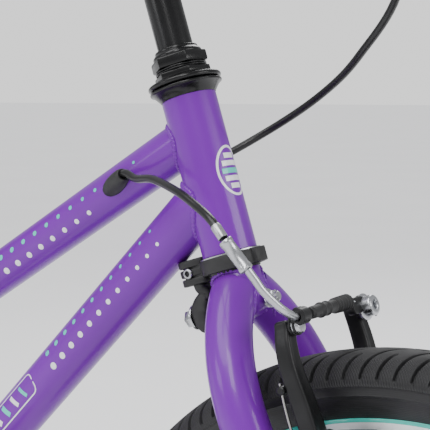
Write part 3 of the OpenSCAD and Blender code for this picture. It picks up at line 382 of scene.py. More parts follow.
# ---------------------------------------------------------------- shader maths
class Wire:
    """A socket's value in a material, on which Python's operators add Math nodes."""

    def __init__(self, paint, socket):
        self.paint, self.socket = paint, socket

    def maths(self, operation, *others):
        """A Math node that takes this value first and the others after it."""
        return self.paint.node("ShaderNodeMath", {"operation": operation}, (self,) + others)

    def __add__(self, other):
        return self.maths("ADD", other)

    def __rsub__(self, other):
        return self.paint.node("ShaderNodeMath", {"operation": "SUBTRACT"}, (other, self))

    def __mul__(self, other):
        return self.maths("MULTIPLY", other)

    __radd__, __rmul__ = __add__, __mul__

    def sine(self):
        return self.maths("SINE")

    def size(self):
        return self.maths("ABSOLUTE")

    def between(self, low, high):
        """0 below low, 1 above high, and a smooth step from one to the other."""
        return self.paint.node("ShaderNodeMapRange", {"interpolation_type": "SMOOTHSTEP"},
                               {"Value": self, "From Min": low, "From Max": high})


class Paint:
    """One material. Numbers the same all over the surface are set on the shader's own sockets."""

    def __init__(self, name, color, roughness=0.5, metallic=0.0, **fixed):
        self.material = bpy.data.materials.new(name)
        self.material.use_nodes = True
        self.tree = self.material.node_tree
        self.shader = self.tree.nodes["Principled BSDF"]
        self.shader.inputs["Base Color"].default_value = (*color, 1)
        self.shader.inputs["Roughness"].default_value = roughness
        self.shader.inputs["Metallic"].default_value = metallic
        for key, value in fixed.items():
            self.shader.inputs[key.replace("_", " ").title().replace("Ior", "IOR")].default_value = value
        self.material.diffuse_color = (*color, 1)

    def node(self, kind, settings=None, inputs=(), output=0):
        """Adds a node: its settings first, then its sockets' values or links, and returns one output."""
        node = self.tree.nodes.new(kind)
        for key, value in (settings or {}).items():
            setattr(node, key, value)
        for key, value in (inputs.items() if isinstance(inputs, dict) else enumerate(inputs)):
            if isinstance(value, Wire):
                self.tree.links.new(value.socket, node.inputs[key])
            else:
                node.inputs[key].default_value = value
        return Wire(self, node.outputs[output])

    def place(self, centre=(0, 0, 0), scale=(1, 1, 1)):
        """Object coordinates, moved so that the centre is at zero, then scaled."""
        coordinates = self.node("ShaderNodeTexCoord", output="Object")
        moved = self.node("ShaderNodeVectorMath", {"operation": "SUBTRACT"}, (coordinates, centre))
        return self.node("ShaderNodeVectorMath", {"operation": "MULTIPLY"}, (moved, scale))

    def parts(self, vector):
        """A vector's x, y and z."""
        return [self.node("ShaderNodeSeparateXYZ", None, (vector,), output=i) for i in range(3)]

    def noise(self, scale, detail=3.0, vector=None):
        """Cloudy noise over the object's own coordinates, or over another vector."""
        return self.node("ShaderNodeTexNoise", None,
                         {"Vector": vector or self.place(), "Scale": scale, "Detail": detail})

    def cells(self, scale, feature="F1"):
        """Cells over the object's own coordinates: the distance to each cell's middle or to its edge."""
        return self.node("ShaderNodeTexVoronoi", {"feature": feature},
                         {"Vector": self.place(), "Scale": scale})

    def mixed(self, factor, first, second):
        """A colour between two, by a factor from 0 to 1."""
        node = self.tree.nodes.new("ShaderNodeMix")
        node.data_type = "RGBA"
        self.tree.links.new(factor.socket, node.inputs[0])
        for key, value in ((6, first), (7, second)):
            if isinstance(value, Wire):
                self.tree.links.new(value.socket, node.inputs[key])
            else:
                node.inputs[key].default_value = (*value, 1)
        return Wire(self, node.outputs[2])

    def link(self, name, wire):
        """Feeds a value to one of the shader's own sockets."""
        self.tree.links.new(wire.socket, self.shader.inputs[name])
        return self

    def bump(self, height, strength=0.3, distance=0.0003):
        """Feeds a height, in units of the distance, through a Bump node to the shader's normal."""
        normal = self.node("ShaderNodeBump", None,
                           {"Height": height, "Strength": strength, "Distance": distance})
        return self.link("Normal", normal)

    def worn(self, color, other, scale=35.0, roughness=(0.3, 0.5), low=0.35, high=0.7):
        """Clouds of a second colour, and a roughness that changes with finer clouds."""
        clouds = self.noise(scale, 5.0).between(low, high)
        self.link("Base Color", self.mixed(clouds, color, other))
        fine = self.noise(scale * 7, 4.0)
        return self.link("Roughness", roughness[0] + fine * (roughness[1] - roughness[0]))


def shade(color, factor):
    """A colour with each channel times a factor, at most 1."""
    return tuple(min(1.0, channel * factor) for channel in color)


def gloss_paint(name, color):
    """Sprayed enamel: a faint orange peel under a clear coat."""
    paint = Paint(name, color, 0.3, coat_weight=0.22, coat_roughness=0.05, specular_ior_level=0.3)
    paint.worn(color, shade(color, 1.10), 9.0, (0.26, 0.36))
    return paint.bump(paint.noise(700.0, 2.0), 0.06, 0.0002).material


def decor_paint(name, color):
    """Printed film under the same clear coat, with slightly uneven ink."""
    paint = Paint(name, color, 0.35, coat_weight=0.5, coat_roughness=0.08)
    paint.worn(color, shade(color, 0.9), 300.0, (0.30, 0.42))
    return paint.bump(paint.noise(1400.0, 2.0), 0.05, 0.0001).material


def black_finish(name, rough=(0.22, 0.38), tone=0.016, metallic=0.0, grain=900.0, depth=0.12):
    """Black coating on metal: dust in its clouds, a fine grain, and rubbed patches that shine more."""
    color = (tone, tone, tone * 1.08)
    paint = Paint(name, color, rough[0], metallic, coat_weight=0.08, coat_roughness=0.15,
                  specular_ior_level=0.32)
    paint.worn(color, shade(color, 1.9), 40.0, rough)
    return paint.bump(paint.noise(grain, 4.0), depth, 0.0002).material


def bare_metal(name, color, rough=(0.18, 0.38), stretch=(1, 1, 1), scale=260.0, depth=0.10):
    """Plated or polished metal, with fine drawn scratches where the stretch is uneven."""
    paint = Paint(name, color, rough[0], 1.0)
    lines = paint.noise(scale, 6.0, paint.place(scale=stretch))
    clouds = paint.noise(22.0, 4.0).between(0.35, 0.75)
    paint.link("Base Color", paint.mixed(clouds, color, shade(color, 0.82)))
    paint.link("Roughness", rough[0] + lines * (rough[1] - rough[0]))
    return paint.bump(lines, depth, 0.0001).material


def moulded(name, tone=0.009, rough=(0.42, 0.62), grain=1500.0, depth=0.25):
    """Moulded plastic or rubber with a spark-eroded grain."""
    color = (tone, tone, tone * 1.05)
    paint = Paint(name, color, rough[0])
    paint.worn(color, shade(color, 1.6), 55.0, rough)
    return paint.bump(paint.cells(grain), depth, 0.00015).material


def wheel_polar(paint, centre):
    """Angle round the wheel, distance from its axle and distance from its middle plane."""
    x, y, z = paint.parts(paint.place(centre))
    angle = x.maths("ARCTAN2", z)
    radius = (x * x + z * z).maths("SQRT")
    return angle, radius, y.size()


def tyre_rubber(name, centre):
    """Tyre rubber: dusty tread, a knurled shoulder and smooth side walls with fine moulding lines."""
    dark = (0.007, 0.007, 0.008)
    paint = Paint(name, dark, 0.6)
    angle, radius, side = wheel_polar(paint, centre)
    dust = paint.noise(60.0, 6.0).between(0.45, 0.8) * radius.between(0.222, 0.243)
    paint.link("Base Color", paint.mixed(dust * 0.45, dark, (0.030, 0.030, 0.033)))
    tread = radius.between(0.2275, 0.2295)
    paint.link("Roughness", 0.44 + tread * 0.18 + paint.noise(140.0, 3.0) * 0.12)
    knurl = (angle * 900.0).sine() * (side * 4200.0).sine()
    shoulder = side.between(0.0125, 0.0145) * tread
    lines = (radius * 5200.0).sine() * (1 - tread) * 0.10
    height = knurl * shoulder + lines + paint.noise(1300.0, 3.0) * 0.45
    return paint.bump(height, 0.55, 0.0003).material


def rim_metal(name, centre, color):
    """Anodised rim with a turned brake track: fine rings, and clouds of brake dust."""
    paint = Paint(name, color, 0.3, 0.75)
    _, radius, side = wheel_polar(paint, centre)
    rings = (radius * 21000.0).sine() * side.between(0.0116, 0.0122)
    dust = paint.noise(70.0, 5.0).between(0.5, 0.85)
    paint.link("Base Color", paint.mixed(dust * 0.35, color, shade(color, 0.62)))
    paint.link("Roughness", 0.27 + paint.noise(300.0, 3.0) * 0.16)
    return paint.bump(rings + paint.noise(900.0, 2.0) * 0.3, 0.22, 0.0001).material


def vinyl(name, tone=0.020):
    """Embossed vinyl: leather cells with a softer crease pattern over them."""
    color = (tone, tone, tone * 1.1)
    paint = Paint(name, color, 0.45, sheen_weight=0.15)
    cells = paint.cells(620.0, feature="DISTANCE_TO_EDGE")
    creases = paint.noise(95.0, 5.0)
    paint.link("Base Color", paint.mixed(creases.between(0.4, 0.75), color, shade(color, 1.7)))
    paint.link("Roughness", 0.36 + creases * 0.22)
    return paint.bump(cells * 1.2 + creases * 0.8, 0.45, 0.0005).material


def floor_paint(name):
    """Matt studio floor with faint clouds."""
    pale = (0.93, 0.93, 0.94)
    return Paint(name, pale, 0.8).worn(pale, (0.91, 0.91, 0.92), 1.5, (0.7, 0.85)).material


PAINTS = {}


def paint_of(key):
    """The material of that finish, made the first time it is asked for."""
    if key not in PAINTS:
        looks = bpy.context.scene.bike_looks
        makers = {
            "purple": lambda: gloss_paint("purple_enamel", looks.frame_color),
            "dots_a": lambda: decor_paint("teal_film", looks.decor_color),
            "dots_b": lambda: decor_paint("white_film", (0.86, 0.88, 0.90)),
            "gloss_black": lambda: black_finish("gloss_black_steel", (0.18, 0.30), 0.004, 0.0, 500.0, 0.05),
            "satin_black": lambda: black_finish("satin_black_alloy", (0.30, 0.46), 0.006, 0.0, 1100.0, 0.16),
            "cast_black": lambda: black_finish("cast_black_alloy", (0.34, 0.50), 0.007, 0.25, 1300.0, 0.22),
            "plastic": lambda: moulded("black_moulding"),
            "rubber": lambda: moulded("soft_rubber", 0.010, (0.5, 0.7), 1100.0, 0.3),
            "cable": lambda: moulded("cable_housing", 0.005, (0.24, 0.36), 2200.0, 0.06),
            "zinc": lambda: bare_metal("zinc_plate", (0.50, 0.51, 0.53)),
            "steel": lambda: bare_metal("drawn_steel", (0.40, 0.395, 0.38), (0.14, 0.28), (1, 1, 0.2)),
            "silver": lambda: bare_metal("satin_alloy", (0.50, 0.505, 0.51), (0.26, 0.42), depth=0.05),
            "chain": lambda: bare_metal("oiled_steel", (0.24, 0.23, 0.22), (0.25, 0.5), scale=500.0),
            "spoke": lambda: bare_metal("spoke_wire", (0.66, 0.67, 0.68), (0.2, 0.3), scale=900.0),
            "pad_grey": lambda: moulded("brake_block", 0.11, (0.55, 0.75), 1800.0, 0.3),
            "front_tyre": lambda: tyre_rubber("front_tyre_rubber", tuple(FRONT_AXLE)),
            "rear_tyre": lambda: tyre_rubber("rear_tyre_rubber", tuple(REAR_AXLE)),
            "front_rim": lambda: rim_metal("front_rim_alloy", tuple(FRONT_AXLE), (0.74, 0.78, 0.78)),
            "rear_rim": lambda: rim_metal("rear_rim_alloy", tuple(REAR_AXLE), (0.74, 0.78, 0.78)),
            "teal_line": lambda: decor_paint("teal_line", looks.line_color),
            "vinyl": lambda: vinyl("saddle_vinyl"),
            "thread": lambda: decor_paint("saddle_thread", (0.06, 0.06, 0.07)),
            "amber": lambda: decor_paint("amber_reflector", (0.75, 0.22, 0.02)),
            "floor": lambda: floor_paint("studio_floor"),
        }
        PAINTS[key] = makers[key]()
    return PAINTS[key]


def finish_node(key, *nodes):
    """Gives a finish to CAD nodes that are shown as they are."""
    for name in nodes:
        piece = frame["nodes"][name]
        piece.data.materials.clear()
        piece.data.materials.append(paint_of(key))


# ---------------------------------------------------------------- settings
class BikeLooks(bpy.types.PropertyGroup):
    """Sizes and colours that a user would change"""
    frame_color: bpy.props.FloatVectorProperty(
        name="Frame colour", description="Enamel of the frame and fork", subtype="COLOR", size=3,
        default=(0.150, 0.006, 0.330), min=0, max=1)
    decor_color: bpy.props.FloatVectorProperty(
        name="Dot colour", description="Film of the first row of dots", subtype="COLOR", size=3,
        default=(0.060, 0.640, 0.520), min=0, max=1)
    line_color: bpy.props.FloatVectorProperty(
        name="Rim line colour", description="Thin line at the rim's outer edge", subtype="COLOR", size=3,
        default=(0.030, 0.480, 0.400), min=0, max=1)
    weld_width: bpy.props.FloatProperty(
        name="Weld width", description="Radius of the weld beads, in millimetres", default=1.9, min=1, max=3)
    tread_depth: bpy.props.FloatProperty(
        name="Tread depth", description="Depth of the tyres' grooves, in millimetres",
        default=2.3, min=0.5, max=3)
    tread_repeats: bpy.props.IntProperty(
        name="Tread repeats", description="Groove patterns round a tyre", default=70, min=30, max=90)
    rib_count: bpy.props.IntProperty(
        name="Grip ribs", description="Ribs along each grip", default=22, min=8, max=40)


# ---------------------------------------------------------------- frame
TOP_TUBE = towards(TOP_JOINT, TOP_DIR)
DOWN_TUBE = towards(DOWN_JOINT, CRANK - DOWN_JOINT)
SEAT_TUBE = towards(CRANK, SEAT_DIR)
SHELL = facing_right(CRANK)
HEAD_R, TOP_R, DOWN_R, SEAT_R, SHELL_R = 17.0, 14.3, 16.4, 14.3, 20.0
SEAT_LENGTH = 205.0


def tube_between(shell, small, small_r, start, end, sides=96):
    """A straight tube whose ends follow the walls of the two tubes it meets, 1 mm inside them."""
    first = joint_curve(small, small_r, *start, sides=sides, inside=1.0)
    last = joint_curve(small, small_r, *end, sides=sides, inside=1.0, sign=-1)
    return shell.grid(np.stack([first, last]))


def on_tube(place, radius, arc, along, lift=0.0):
    """Points on a tube's wall: arc in millimetres round it from its x axis, and along its z axis."""
    angle = np.asarray(arc, float) / radius
    r = radius + np.asarray(lift, float)
    z = np.broadcast_to(along, angle.shape)
    return place(np.stack([r * np.cos(angle), r * np.sin(angle), z], -1))


def dot(shell, place, radius, arc, along, size, paint):
    """A round spot of film on a tube: circles of growing size laid on the wall, its rim turned down."""
    a = around(24)
    share = np.array([0.02, 0.35, 0.7, 0.93, 1.0])[:, None]
    lift = np.array([0.16, 0.16, 0.16, 0.14, -0.05])[:, None] + 0 * a
    reach = size / 2 * share
    points = on_tube(place, radius, arc + reach * np.cos(a), along + reach * np.sin(a), lift)
    shell.grid(points, caps="0", paint=paint, flip=True)


def ribbon(shell, place, radius, path, width, paint=0, closed=False):
    """A strip of film of the given width along a flat path of [arc, along], laid on a tube's wall."""
    path = np.asarray(path, float)
    if closed:
        ahead = np.roll(path, -1, 0) - np.roll(path, 1, 0)
    else:
        ahead = np.gradient(path, axis=0)
    across = np.stack([-ahead[:, 1], ahead[:, 0]], -1) / np.linalg.norm(ahead, axis=1, keepdims=True)
    width = np.broadcast_to(width, len(path))[:, None]
    share = np.array([-0.5, -0.46, -0.25, 0.0, 0.25, 0.46, 0.5])
    lift = np.array([-0.05, 0.14, 0.16, 0.16, 0.16, 0.14, -0.05])
    flat = path[:, None] + (width * share)[:, :, None] * across[:, None]
    points = on_tube(place, radius, flat[..., 0], flat[..., 1], np.broadcast_to(lift, flat.shape[:2]))
    shell.grid(points, wrap_u=closed, wrap_v=False, paint=paint, flip=True)


def decor_rows(shell, place, radius, angles, start, spacing, count, port=None):
    """Two rows of dots on each side of a tube, which grow along it; the port's place is left free."""
    for side in (-1, 1):
        for row, angle in enumerate(angles):
            for k in range(count):
                along = start + k * spacing
                if port and row == 1 and port[0] < along < port[1]:
                    continue
                arc = side * math.radians(angle) * radius
                size = (2.6 + 2.4 * k / (count - 1)) * (0.85 if row == 0 else 1.0)
                dot(shell, place, radius, arc, along, size, row)


def enamelled(shell, name, *nodes, body="frame", crease=38):
    """Builds a piece in the frame's enamel."""
    shell.build(name, body, paint_of("purple"), "purple_paint", nodes, crease)


class BIKE_OT_main_tubes(bpy.types.Operator):
    """Head, top, down and seat tubes with the bottom bracket shell and the weld beads between them"""
    bl_idname = "bike.main_tubes"
    bl_label = "Main tubes"

    def execute(self, context):
        width = context.scene.bike_looks.weld_width
        end, bore, edge = -HEAD_LENGTH, 15.4, 0.4
        wall = [[bore, end], [HEAD_R - edge, end], [HEAD_R, end + edge], [HEAD_R, -edge], [HEAD_R - edge, 0],
                [bore, 0]]
        enamelled(Shell().turned(HEAD, wall, 96, wrap=True), "head_tube_shell", "head_tube")
        enamelled(tube_between(Shell(), TOP_TUBE, TOP_R, (HEAD, HEAD_R), (SEAT_TUBE, SEAT_R)),
                  "top_tube_shell", "top_tube")
        enamelled(tube_between(Shell(), DOWN_TUBE, DOWN_R, (HEAD, HEAD_R), (SHELL, SHELL_R)),
                  "down_tube_shell", "down_tube")
        first = joint_curve(SEAT_TUBE, SEAT_R, SHELL, SHELL_R, inside=1.0)
        bore, depth = 12.9, 150.0
        rings = ((SEAT_R, SEAT_LENGTH - edge), (SEAT_R - edge, SEAT_LENGTH), (bore, SEAT_LENGTH),
                 (bore, depth))
        rows = [SEAT_TUBE(np.column_stack([circle(r, 96), np.full(96, z)])) for r, z in rings]
        enamelled(Shell().grid(np.stack([first] + rows)), "seat_tube_shell", "seat_tube")
        half, bore, edge = 34.0, 17.2, 0.6
        wall = [[bore, -half], [SHELL_R - edge, -half], [SHELL_R, edge - half], [SHELL_R, half - edge],
                [SHELL_R - edge, half], [bore, half]]
        enamelled(Shell().turned(SHELL, wall, 96, wrap=True), "bracket_shell", "bottom_bracket_shell")
        beads = Shell()
        weld(beads, TOP_TUBE, TOP_R, HEAD, HEAD_R, width)
        weld(beads, DOWN_TUBE, DOWN_R, HEAD, HEAD_R, width * 1.1, 52)
        weld(beads, TOP_TUBE, TOP_R, SEAT_TUBE, SEAT_R, width, sign=-1)
        weld(beads, DOWN_TUBE, DOWN_R, SHELL, SHELL_R, width, 52, sign=-1)
        weld(beads, SEAT_TUBE, SEAT_R, SHELL, SHELL_R, width)
        enamelled(beads, "frame_welds")
        return {"FINISHED"}


class BIKE_OT_decor(bpy.types.Operator):
    """Rows of dots on the top and down tubes, a plain striped motif and an oval head badge"""
    bl_idname = "bike.decor"
    bl_label = "Decor"

    def execute(self, context):
        films = [paint_of("dots_a"), paint_of("dots_b")]
        dots = Shell()
        decor_rows(dots, TOP_TUBE, TOP_R, (70.5, 112), 43.5, 12.1, 13, (47, 90))
        decor_rows(dots, DOWN_TUBE, DOWN_R, (58, 96), 45.5, 11.1, 12)
        dots.build("decor_dots", "frame", films, "badge")
        motif = Shell()
        for side in (-1, 1):
            middle = side * math.radians(78) * DOWN_R
            outline = rounded_box(15, 78, 5) + (middle, 229)
            ribbon(motif, DOWN_TUBE, DOWN_R, outline, 0.9, 1, closed=True)
            for k in range(6):
                bar = np.linspace((middle - 4.6, 201 + k * 11), (middle + 4.6, 205 + k * 11), 6)
                ribbon(motif, DOWN_TUBE, DOWN_R, bar, 2.6 + 0.5 * k, 1 if k % 2 else 0)
        motif.build("down_tube_motif", "frame", films, "badge")
        badge = Shell()
        front = towards(HEAD.origin, -UP, AHEAD)
        ribbon(badge, front, HEAD_R, np.array([11.0, 15.0]) * circle(1, 64) + (0, 51), 1.6, 1, closed=True)
        for k, width in enumerate((9.0, 14.5, 16.5, 14.5, 9.0)):
            bar = np.linspace((-width / 2, 41.6 + 4.7 * k), (width / 2, 41.6 + 4.7 * k), 8)
            ribbon(badge, front, HEAD_R, bar, 3.3, 0 if k == 2 else 1)
        badge.build("badge_film", "frame", films, "badge", ("head_badge",))
        return {"FINISHED"}


# ---------------------------------------------------------------- rear triangle
STAY_LEAN = math.radians(5.3)
STAY_TOP = 27.0
DROP_Y = 55.0
DROP_T = 5.0
PLATE_Z, KICKSTAND_BACK, KICKSTAND_HOLE = 237.0, 47.0, 5.25


def stay_point(y, z):
    """A point on a seatstay's centreline, in the rear brake's frame."""
    return (-z * math.tan(STAY_LEAN), y, z)


def stay_rise():
    """From the rear axle to where the seatstays meet the seat tube, in metres."""
    return SEAT_TUBE((0, 0, SEAT_LENGTH - STAY_TOP)) - REAR_AXLE


def dropout_outline():
    """Fork end: a round plate with tabs along the two stays, an eyelet and a slot open to the rear."""
    rise = stay_rise()
    tilt = math.atan2(rise[0], rise[2])
    stay = np.array([math.sin(tilt), math.cos(tilt)])
    across = np.array([stay[1], -stay[0]])
    slot = 5.0
    points = [circle(15, 14, start=200, end=324), [(34, -8), (39, -5), (39, 5), (36, 11)],
              [tuple(stay * 34), tuple(stay * 30 - across * 8)],
              circle(6, 8, (2, 18.5), 60, 200), circle(15, 6, start=120, end=158),
              [(-19.5, 8), (-20, slot)], circle(slot, 9, start=90, end=-90)[1:-1],
              [(-20, -slot), (-19.5, -8)]]
    return np.concatenate([np.asarray(part, float) for part in points])


class BIKE_OT_rear_triangle(bpy.types.Operator):
    """Chainstays, seatstays with their bridge and brake posts, the rear dropouts and the kickstand plate"""
    bl_idname = "bike.rear_triangle"
    bl_label = "Rear triangle"

    def execute(self, context):
        width = context.scene.bike_looks.weld_width
        low, high = Shell(), Shell()
        for side in (-1, 1):
            start = BIKE(np.array(CRANK) / MM + (-12, side * 26, 0))
            end = BIKE(np.array(REAR_AXLE) / MM + (36, side * (DROP_Y + DROP_T / 2), 0))
            path = dense([start, start + (end - start) * 0.3, end], 0.03)
            taper = np.interp(np.linspace(0, 1, len(path)), [0, 0.3, 0.9, 1], [9, 9, 7, 5.5])
            low.swept(path, taper, 40)
            plate = facing_right(REAR_AXLE + np.array([0, side * DROP_Y * MM, 0]))
            low.slab(plate, dropout_outline(), DROP_T, 0.7, base=-DROP_T if side > 0 else 0)
            weld(low, towards(start, end - start), 8.9, SHELL, SHELL_R, width * 0.9, 30, inside=1)
        middle = (CRANK[0] / MM - KICKSTAND_BACK, 0)
        hole = circle(KICKSTAND_HOLE, 32, middle)
        ring = rounded_box(40, 48, 6, 8) + middle
        rings = [np.column_stack([outline, np.full(32, z)])
                 for outline, z in ((hole, 0), (hole, 6), (ring, 6), (ring, 0))]
        low.grid(BIKE.moved((0, 0, PLATE_Z))(np.stack(rings)), wrap_u=True, flip=True)
        enamelled(low, "chainstays_shell", "chainstays")
        wide = 45.0
        top = np.linalg.norm(stay_rise()) / MM * math.cos(STAY_LEAN)
        for side in (-1, 1):
            corners = ((DROP_Y + DROP_T / 2, 24), (DROP_Y + 6, 75), (wide, 188), (wide - 3, TYRE_R + 12),
                       (12, top - 2))
            route = [stay_point(side * y, z) for y, z in corners]
            path = dense(rounded_path(REAR_BRAKE(route), 0.05, 6), 0.012)
            high.swept(path, np.interp(np.arange(len(path)), [0, 4, len(path) - 1], [5, 7.5, 7.5]), 36)
            high.turned(REAR_BRAKE.forward((0, side * 40, 176)),
                        [[6.5, -16.5], [6.5, 9.3], [6.0, 9.8], [3.9, 9.8], [3.9, 22.8]], 32)
        bridge = REAR_BRAKE([stay_point(y, TYRE_R + 15) for y in (-wide + 3, 0, wide - 3)])
        high.swept(bridge, 6, 32)
        for side in (-1, 1):
            ring = towards(REAR_BRAKE(stay_point(side * (wide - 10.2), TYRE_R + 15)), (0, side, 0))
            high.turned(ring, [[5.6, -2.2], [7.0, -1.2], [7.6, 0.2], [7.4, 1.6]], 32)
        enamelled(high, "seatstays_shell", "seatstays")
        return {"FINISHED"}


# ---------------------------------------------------------------- headset and limiter
CROWN_S = HEAD_LENGTH + 11.3
HEX_TURN = 0.35
HEX_COS, HEX_SIN = math.cos(HEX_TURN), math.sin(HEX_TURN)
HEX_TOP = HEAD.moved((0, 0, 0), x=(HEX_COS, HEX_SIN, 0), y=(-HEX_SIN, HEX_COS, 0))


def arc_profile(centre, radius, start, end, count=7):
    """Points of a round stretch in a turned profile, by angle from outwards, in degrees."""
    a = np.radians(np.linspace(start, end, count))
    return np.stack([centre[0] + radius * np.cos(a), centre[1] + radius * np.sin(a)], -1)


def joined(*parts):
    """Single points, lists of points and arcs, put together as one outline."""
    return np.concatenate([np.asarray(part, float).reshape(-1, 2) for part in parts])


def cap_screw(shell, place, radius, height, socket=2.0, paint=0):
    """A domed screw head with a hexagon socket sunk in its middle."""
    profile = joined([radius * 0.98, 0], [radius, 0.5], arc_profile((radius - 1.6, height - 1.6), 1.6, 0, 85),
                     [socket * 1.25, height], [socket, height - 0.5], [socket, height * 0.35])
    shell.turned(place, profile, 36, paint)


class BIKE_OT_headset(bpy.types.Operator):
    """Threaded headset: flared cups, dust cap, hexagon race, washer and domed locknut"""
    bl_idname = "bike.headset"
    bl_label = "Headset"

    def execute(self, context):
        black = paint_of("gloss_black")
        cups = Shell()
        r = HEAD_R
        cups.turned(HEAD, joined([15.2, 1], [r + 0.1, -0.2], [r + 0.5, 0.2], [r + 1.0, 1.0], [21.0, 4.9],
                                 arc_profile((21.6, 6.2), 1.1, -60, 60), [19, 7.4], [18.6, 6.6], [18.4, 2.6]),
                                 96, wrap=True)
        low = HEAD_LENGTH
        cups.turned(HEAD, joined([15.2, -low - 1], [r + 0.7, -low - 5.2], [r + 1.0, -low - 4.9],
                                 [r + 1.0, -low - 0.5], [r + 0.7, -low - 0.1], [r + 0.1, -low - 0.1],
                                 [15.2, -low]), 96, wrap=True)
        cups.build("headset_cup_pair", "frame", black, "black_steel", ("headset_cups",))
        race = Shell()
        race.turned(HEAD, joined([12.8, 7.9], [15.4, 7.9], [21.4, 7.9],
                                 arc_profile((21.3, 9.6), 1.7, -80, 95, 9), [20.2, 11.5], [19.6, 12.1],
                                 [18.6, 12.5], [12.8, 12.5]), 96, wrap=True)
        race.slab(HEX_TOP, hexagon(31.5), 4.0, 0.8, base=12.4)
        race.build("dust_cap_race", "steering", black, "black_steel", ("adjusting_race",))
        washer = Shell()
        washer.turned(HEAD, joined([12.8, 16.55], [15.9, 16.55], arc_profile((15.7, 17.2), 0.6, -70, 70, 5),
                                   [15.2, 17.85], arc_profile((15.7, 18.5), 0.6, -70, 70, 5), [12.8, 19.1]),
                                   72, wrap=True)
        washer.build("washer_pair", "steering", black, "black_steel", ("lock_washer",))
        nut = Shell()
        nut.slab(HEX_TOP, hexagon(31.5), 6.6, 1.0, base=19.4)
        nut.turned(HEAD, joined([14.9, 25.4], arc_profile((13.0, 26.6), 2.4, -10, 55, 5), [13.4, 29.6],
                                arc_profile((12.6, 30.2), 0.9, 20, 90, 4), [11.4, 31.1], [11.4, 29.0]), 96)
        nut.build("locknut_dome", "steering", black, "black_steel", ("locknut",))
        return {"FINISHED"}


BOLT_Z = -CROWN_S - 21
BAND_Z = -HEAD_LENGTH - 9.8


class BIKE_OT_limiter(bpy.types.Operator):
    """Steering limiter: the clamp on the head tube's foot, its screw, and the moulded rubber strap"""
    bl_idname = "bike.limiter"
    bl_label = "Steering limiter"

    def execute(self, context):
        plastic, zinc, rubber = paint_of("plastic"), paint_of("zinc"), paint_of("rubber")
        base = HEAD.moved((0, 0, BAND_Z))
        ring_r = HEAD_R + 2.8
        band = Shell()
        lip = ring_r + 2.6
        outline = joined(circle(ring_r, 40, start=-160, end=-16), [(lip - 0.7, -5.5), (lip, -4.5)],
                         [(lip, 4.5), (lip - 0.7, 5.5)], circle(ring_r, 40, start=16, end=160),
                         [(-24, 6.6), (-32, 6.2), (-34, 4.5), (-34, 1.3), (-19, 1.3)],
                         circle(HEAD_R + 0.85, 60, start=176, end=-176),
                         [(-19, -1.3), (-34, -1.3), (-34, -4.5), (-32, -6.2), (-24, -6.6)])
        band.slab(base, outline, 9.0, 0.7)
        inner, outer = HEAD_R + 0.9, ring_r - 0.9
        band.turned(base, [[inner, 9.0], [outer, 9.0], [outer, 9.7], [inner, 9.7]], 96, 1, True)
        screw = base.sideways((-28.5, -6.4, 4.5), -1)
        cap_screw(band, screw, 3.4, 3.2, paint=1)
        for low in (-3.2, 2.4, 8.0):
            ear = base.moved((-26.5, 0, low), x=(1, 0, 0))
            band.slab(ear, joined(circle(8.6, 16, (-3, 0), 100, 260),
                                  [(6.5, -7.4), (8.5, -5.4), (8.5, 5.4), (6.5, 7.4)]), 4.6, 0.8)
        band.build("limiter_band", "frame", [plastic, zinc], "black_plastic", ("limiter_clamp",))
        strap = Shell()
        path = [(-26, 0, -HEAD_LENGTH - 9.9), (-25, 0, -HEAD_LENGTH - 16), (-22.5, 0, -HEAD_LENGTH - 20),
                (-25, 0, BOLT_Z + 11), (-29, 0, BOLT_Z + 5), (-29.5, 0, BOLT_Z - 4),
                (-24.5, 0, BOLT_Z - 10.5)]
        path = smooth_path(HEAD(path), 6)
        share = np.linspace(0, 1, len(path))
        wide = np.interp(share, [0, 0.15, 0.35, 0.5, 0.7, 0.9, 1], [6.4, 6.6, 4.2, 5.5, 8.2, 7.6, 4.5])
        thick = np.interp(share, [0, 0.15, 0.35, 0.5, 0.7, 0.9, 1], [4.2, 4.5, 3.0, 4.5, 7.0, 5.5, 2.5])
        along = directions(path)
        across = np.broadcast_to(SIDE, along.shape)
        out = np.cross(along, across)
        strap.grid(sections(path, across, out, MM * wide, MM * thick, *soft_box(around(28), 0.7)), caps="01")
        bend = ("steering", HEAD((-26, 0, -HEAD_LENGTH - 12)), HEAD((-29, 0, BOLT_Z + 5)))
        strap.build("limiter_rubber", "frame", rubber, "soft_rubber", ("limiter_strap",), bend=bend)
        return {"FINISHED"}


# ---------------------------------------------------------------- fork
FORK_RAKE = 33.0
TYRE_GAP = 59.4
LEG_DROP = TYRE_GAP + TYRE_R - 2
LEG_TILT = math.atan(FORK_RAKE / LEG_DROP)
NECK = HEAD.moved((0, 0, -CROWN_S - 2), x=(math.cos(LEG_TILT), 0, math.sin(LEG_TILT)),
                  z=(-math.sin(LEG_TILT), 0, math.cos(LEG_TILT)))
LEG_GAP, LEG_R, NECK_R = 89.0, 14.3, 15.5
LEG_SPREAD = math.radians(50)
PIVOT_Z, PIVOT_Y, ARM_LENGTH = 176.0, 40.0, 90.0


def fork_leg_path(side):
    """The leg's centreline: an arc that leaves the neck at 50 degrees, then a straight taper to the axle."""
    foot = math.radians(2)
    start_y, start_z = 8, -10
    bend = (LEG_GAP / 2 - start_y) / (math.cos(foot) - math.cos(LEG_SPREAD))
    a = np.linspace(LEG_SPREAD, foot, 25)
    y = LEG_GAP / 2 - bend * (math.cos(foot) - np.cos(a))
    z = start_z - bend * (math.sin(LEG_SPREAD) - np.sin(a))
    arc = np.stack([0 * a, side * y, z], -1)
    end = np.array([0, side * 52.0, 22 - LEG_DROP])
    straight = arc[-1] + (end - arc[-1]) * np.linspace(0, 1, 14)[1:, None]
    return np.concatenate([arc, straight])


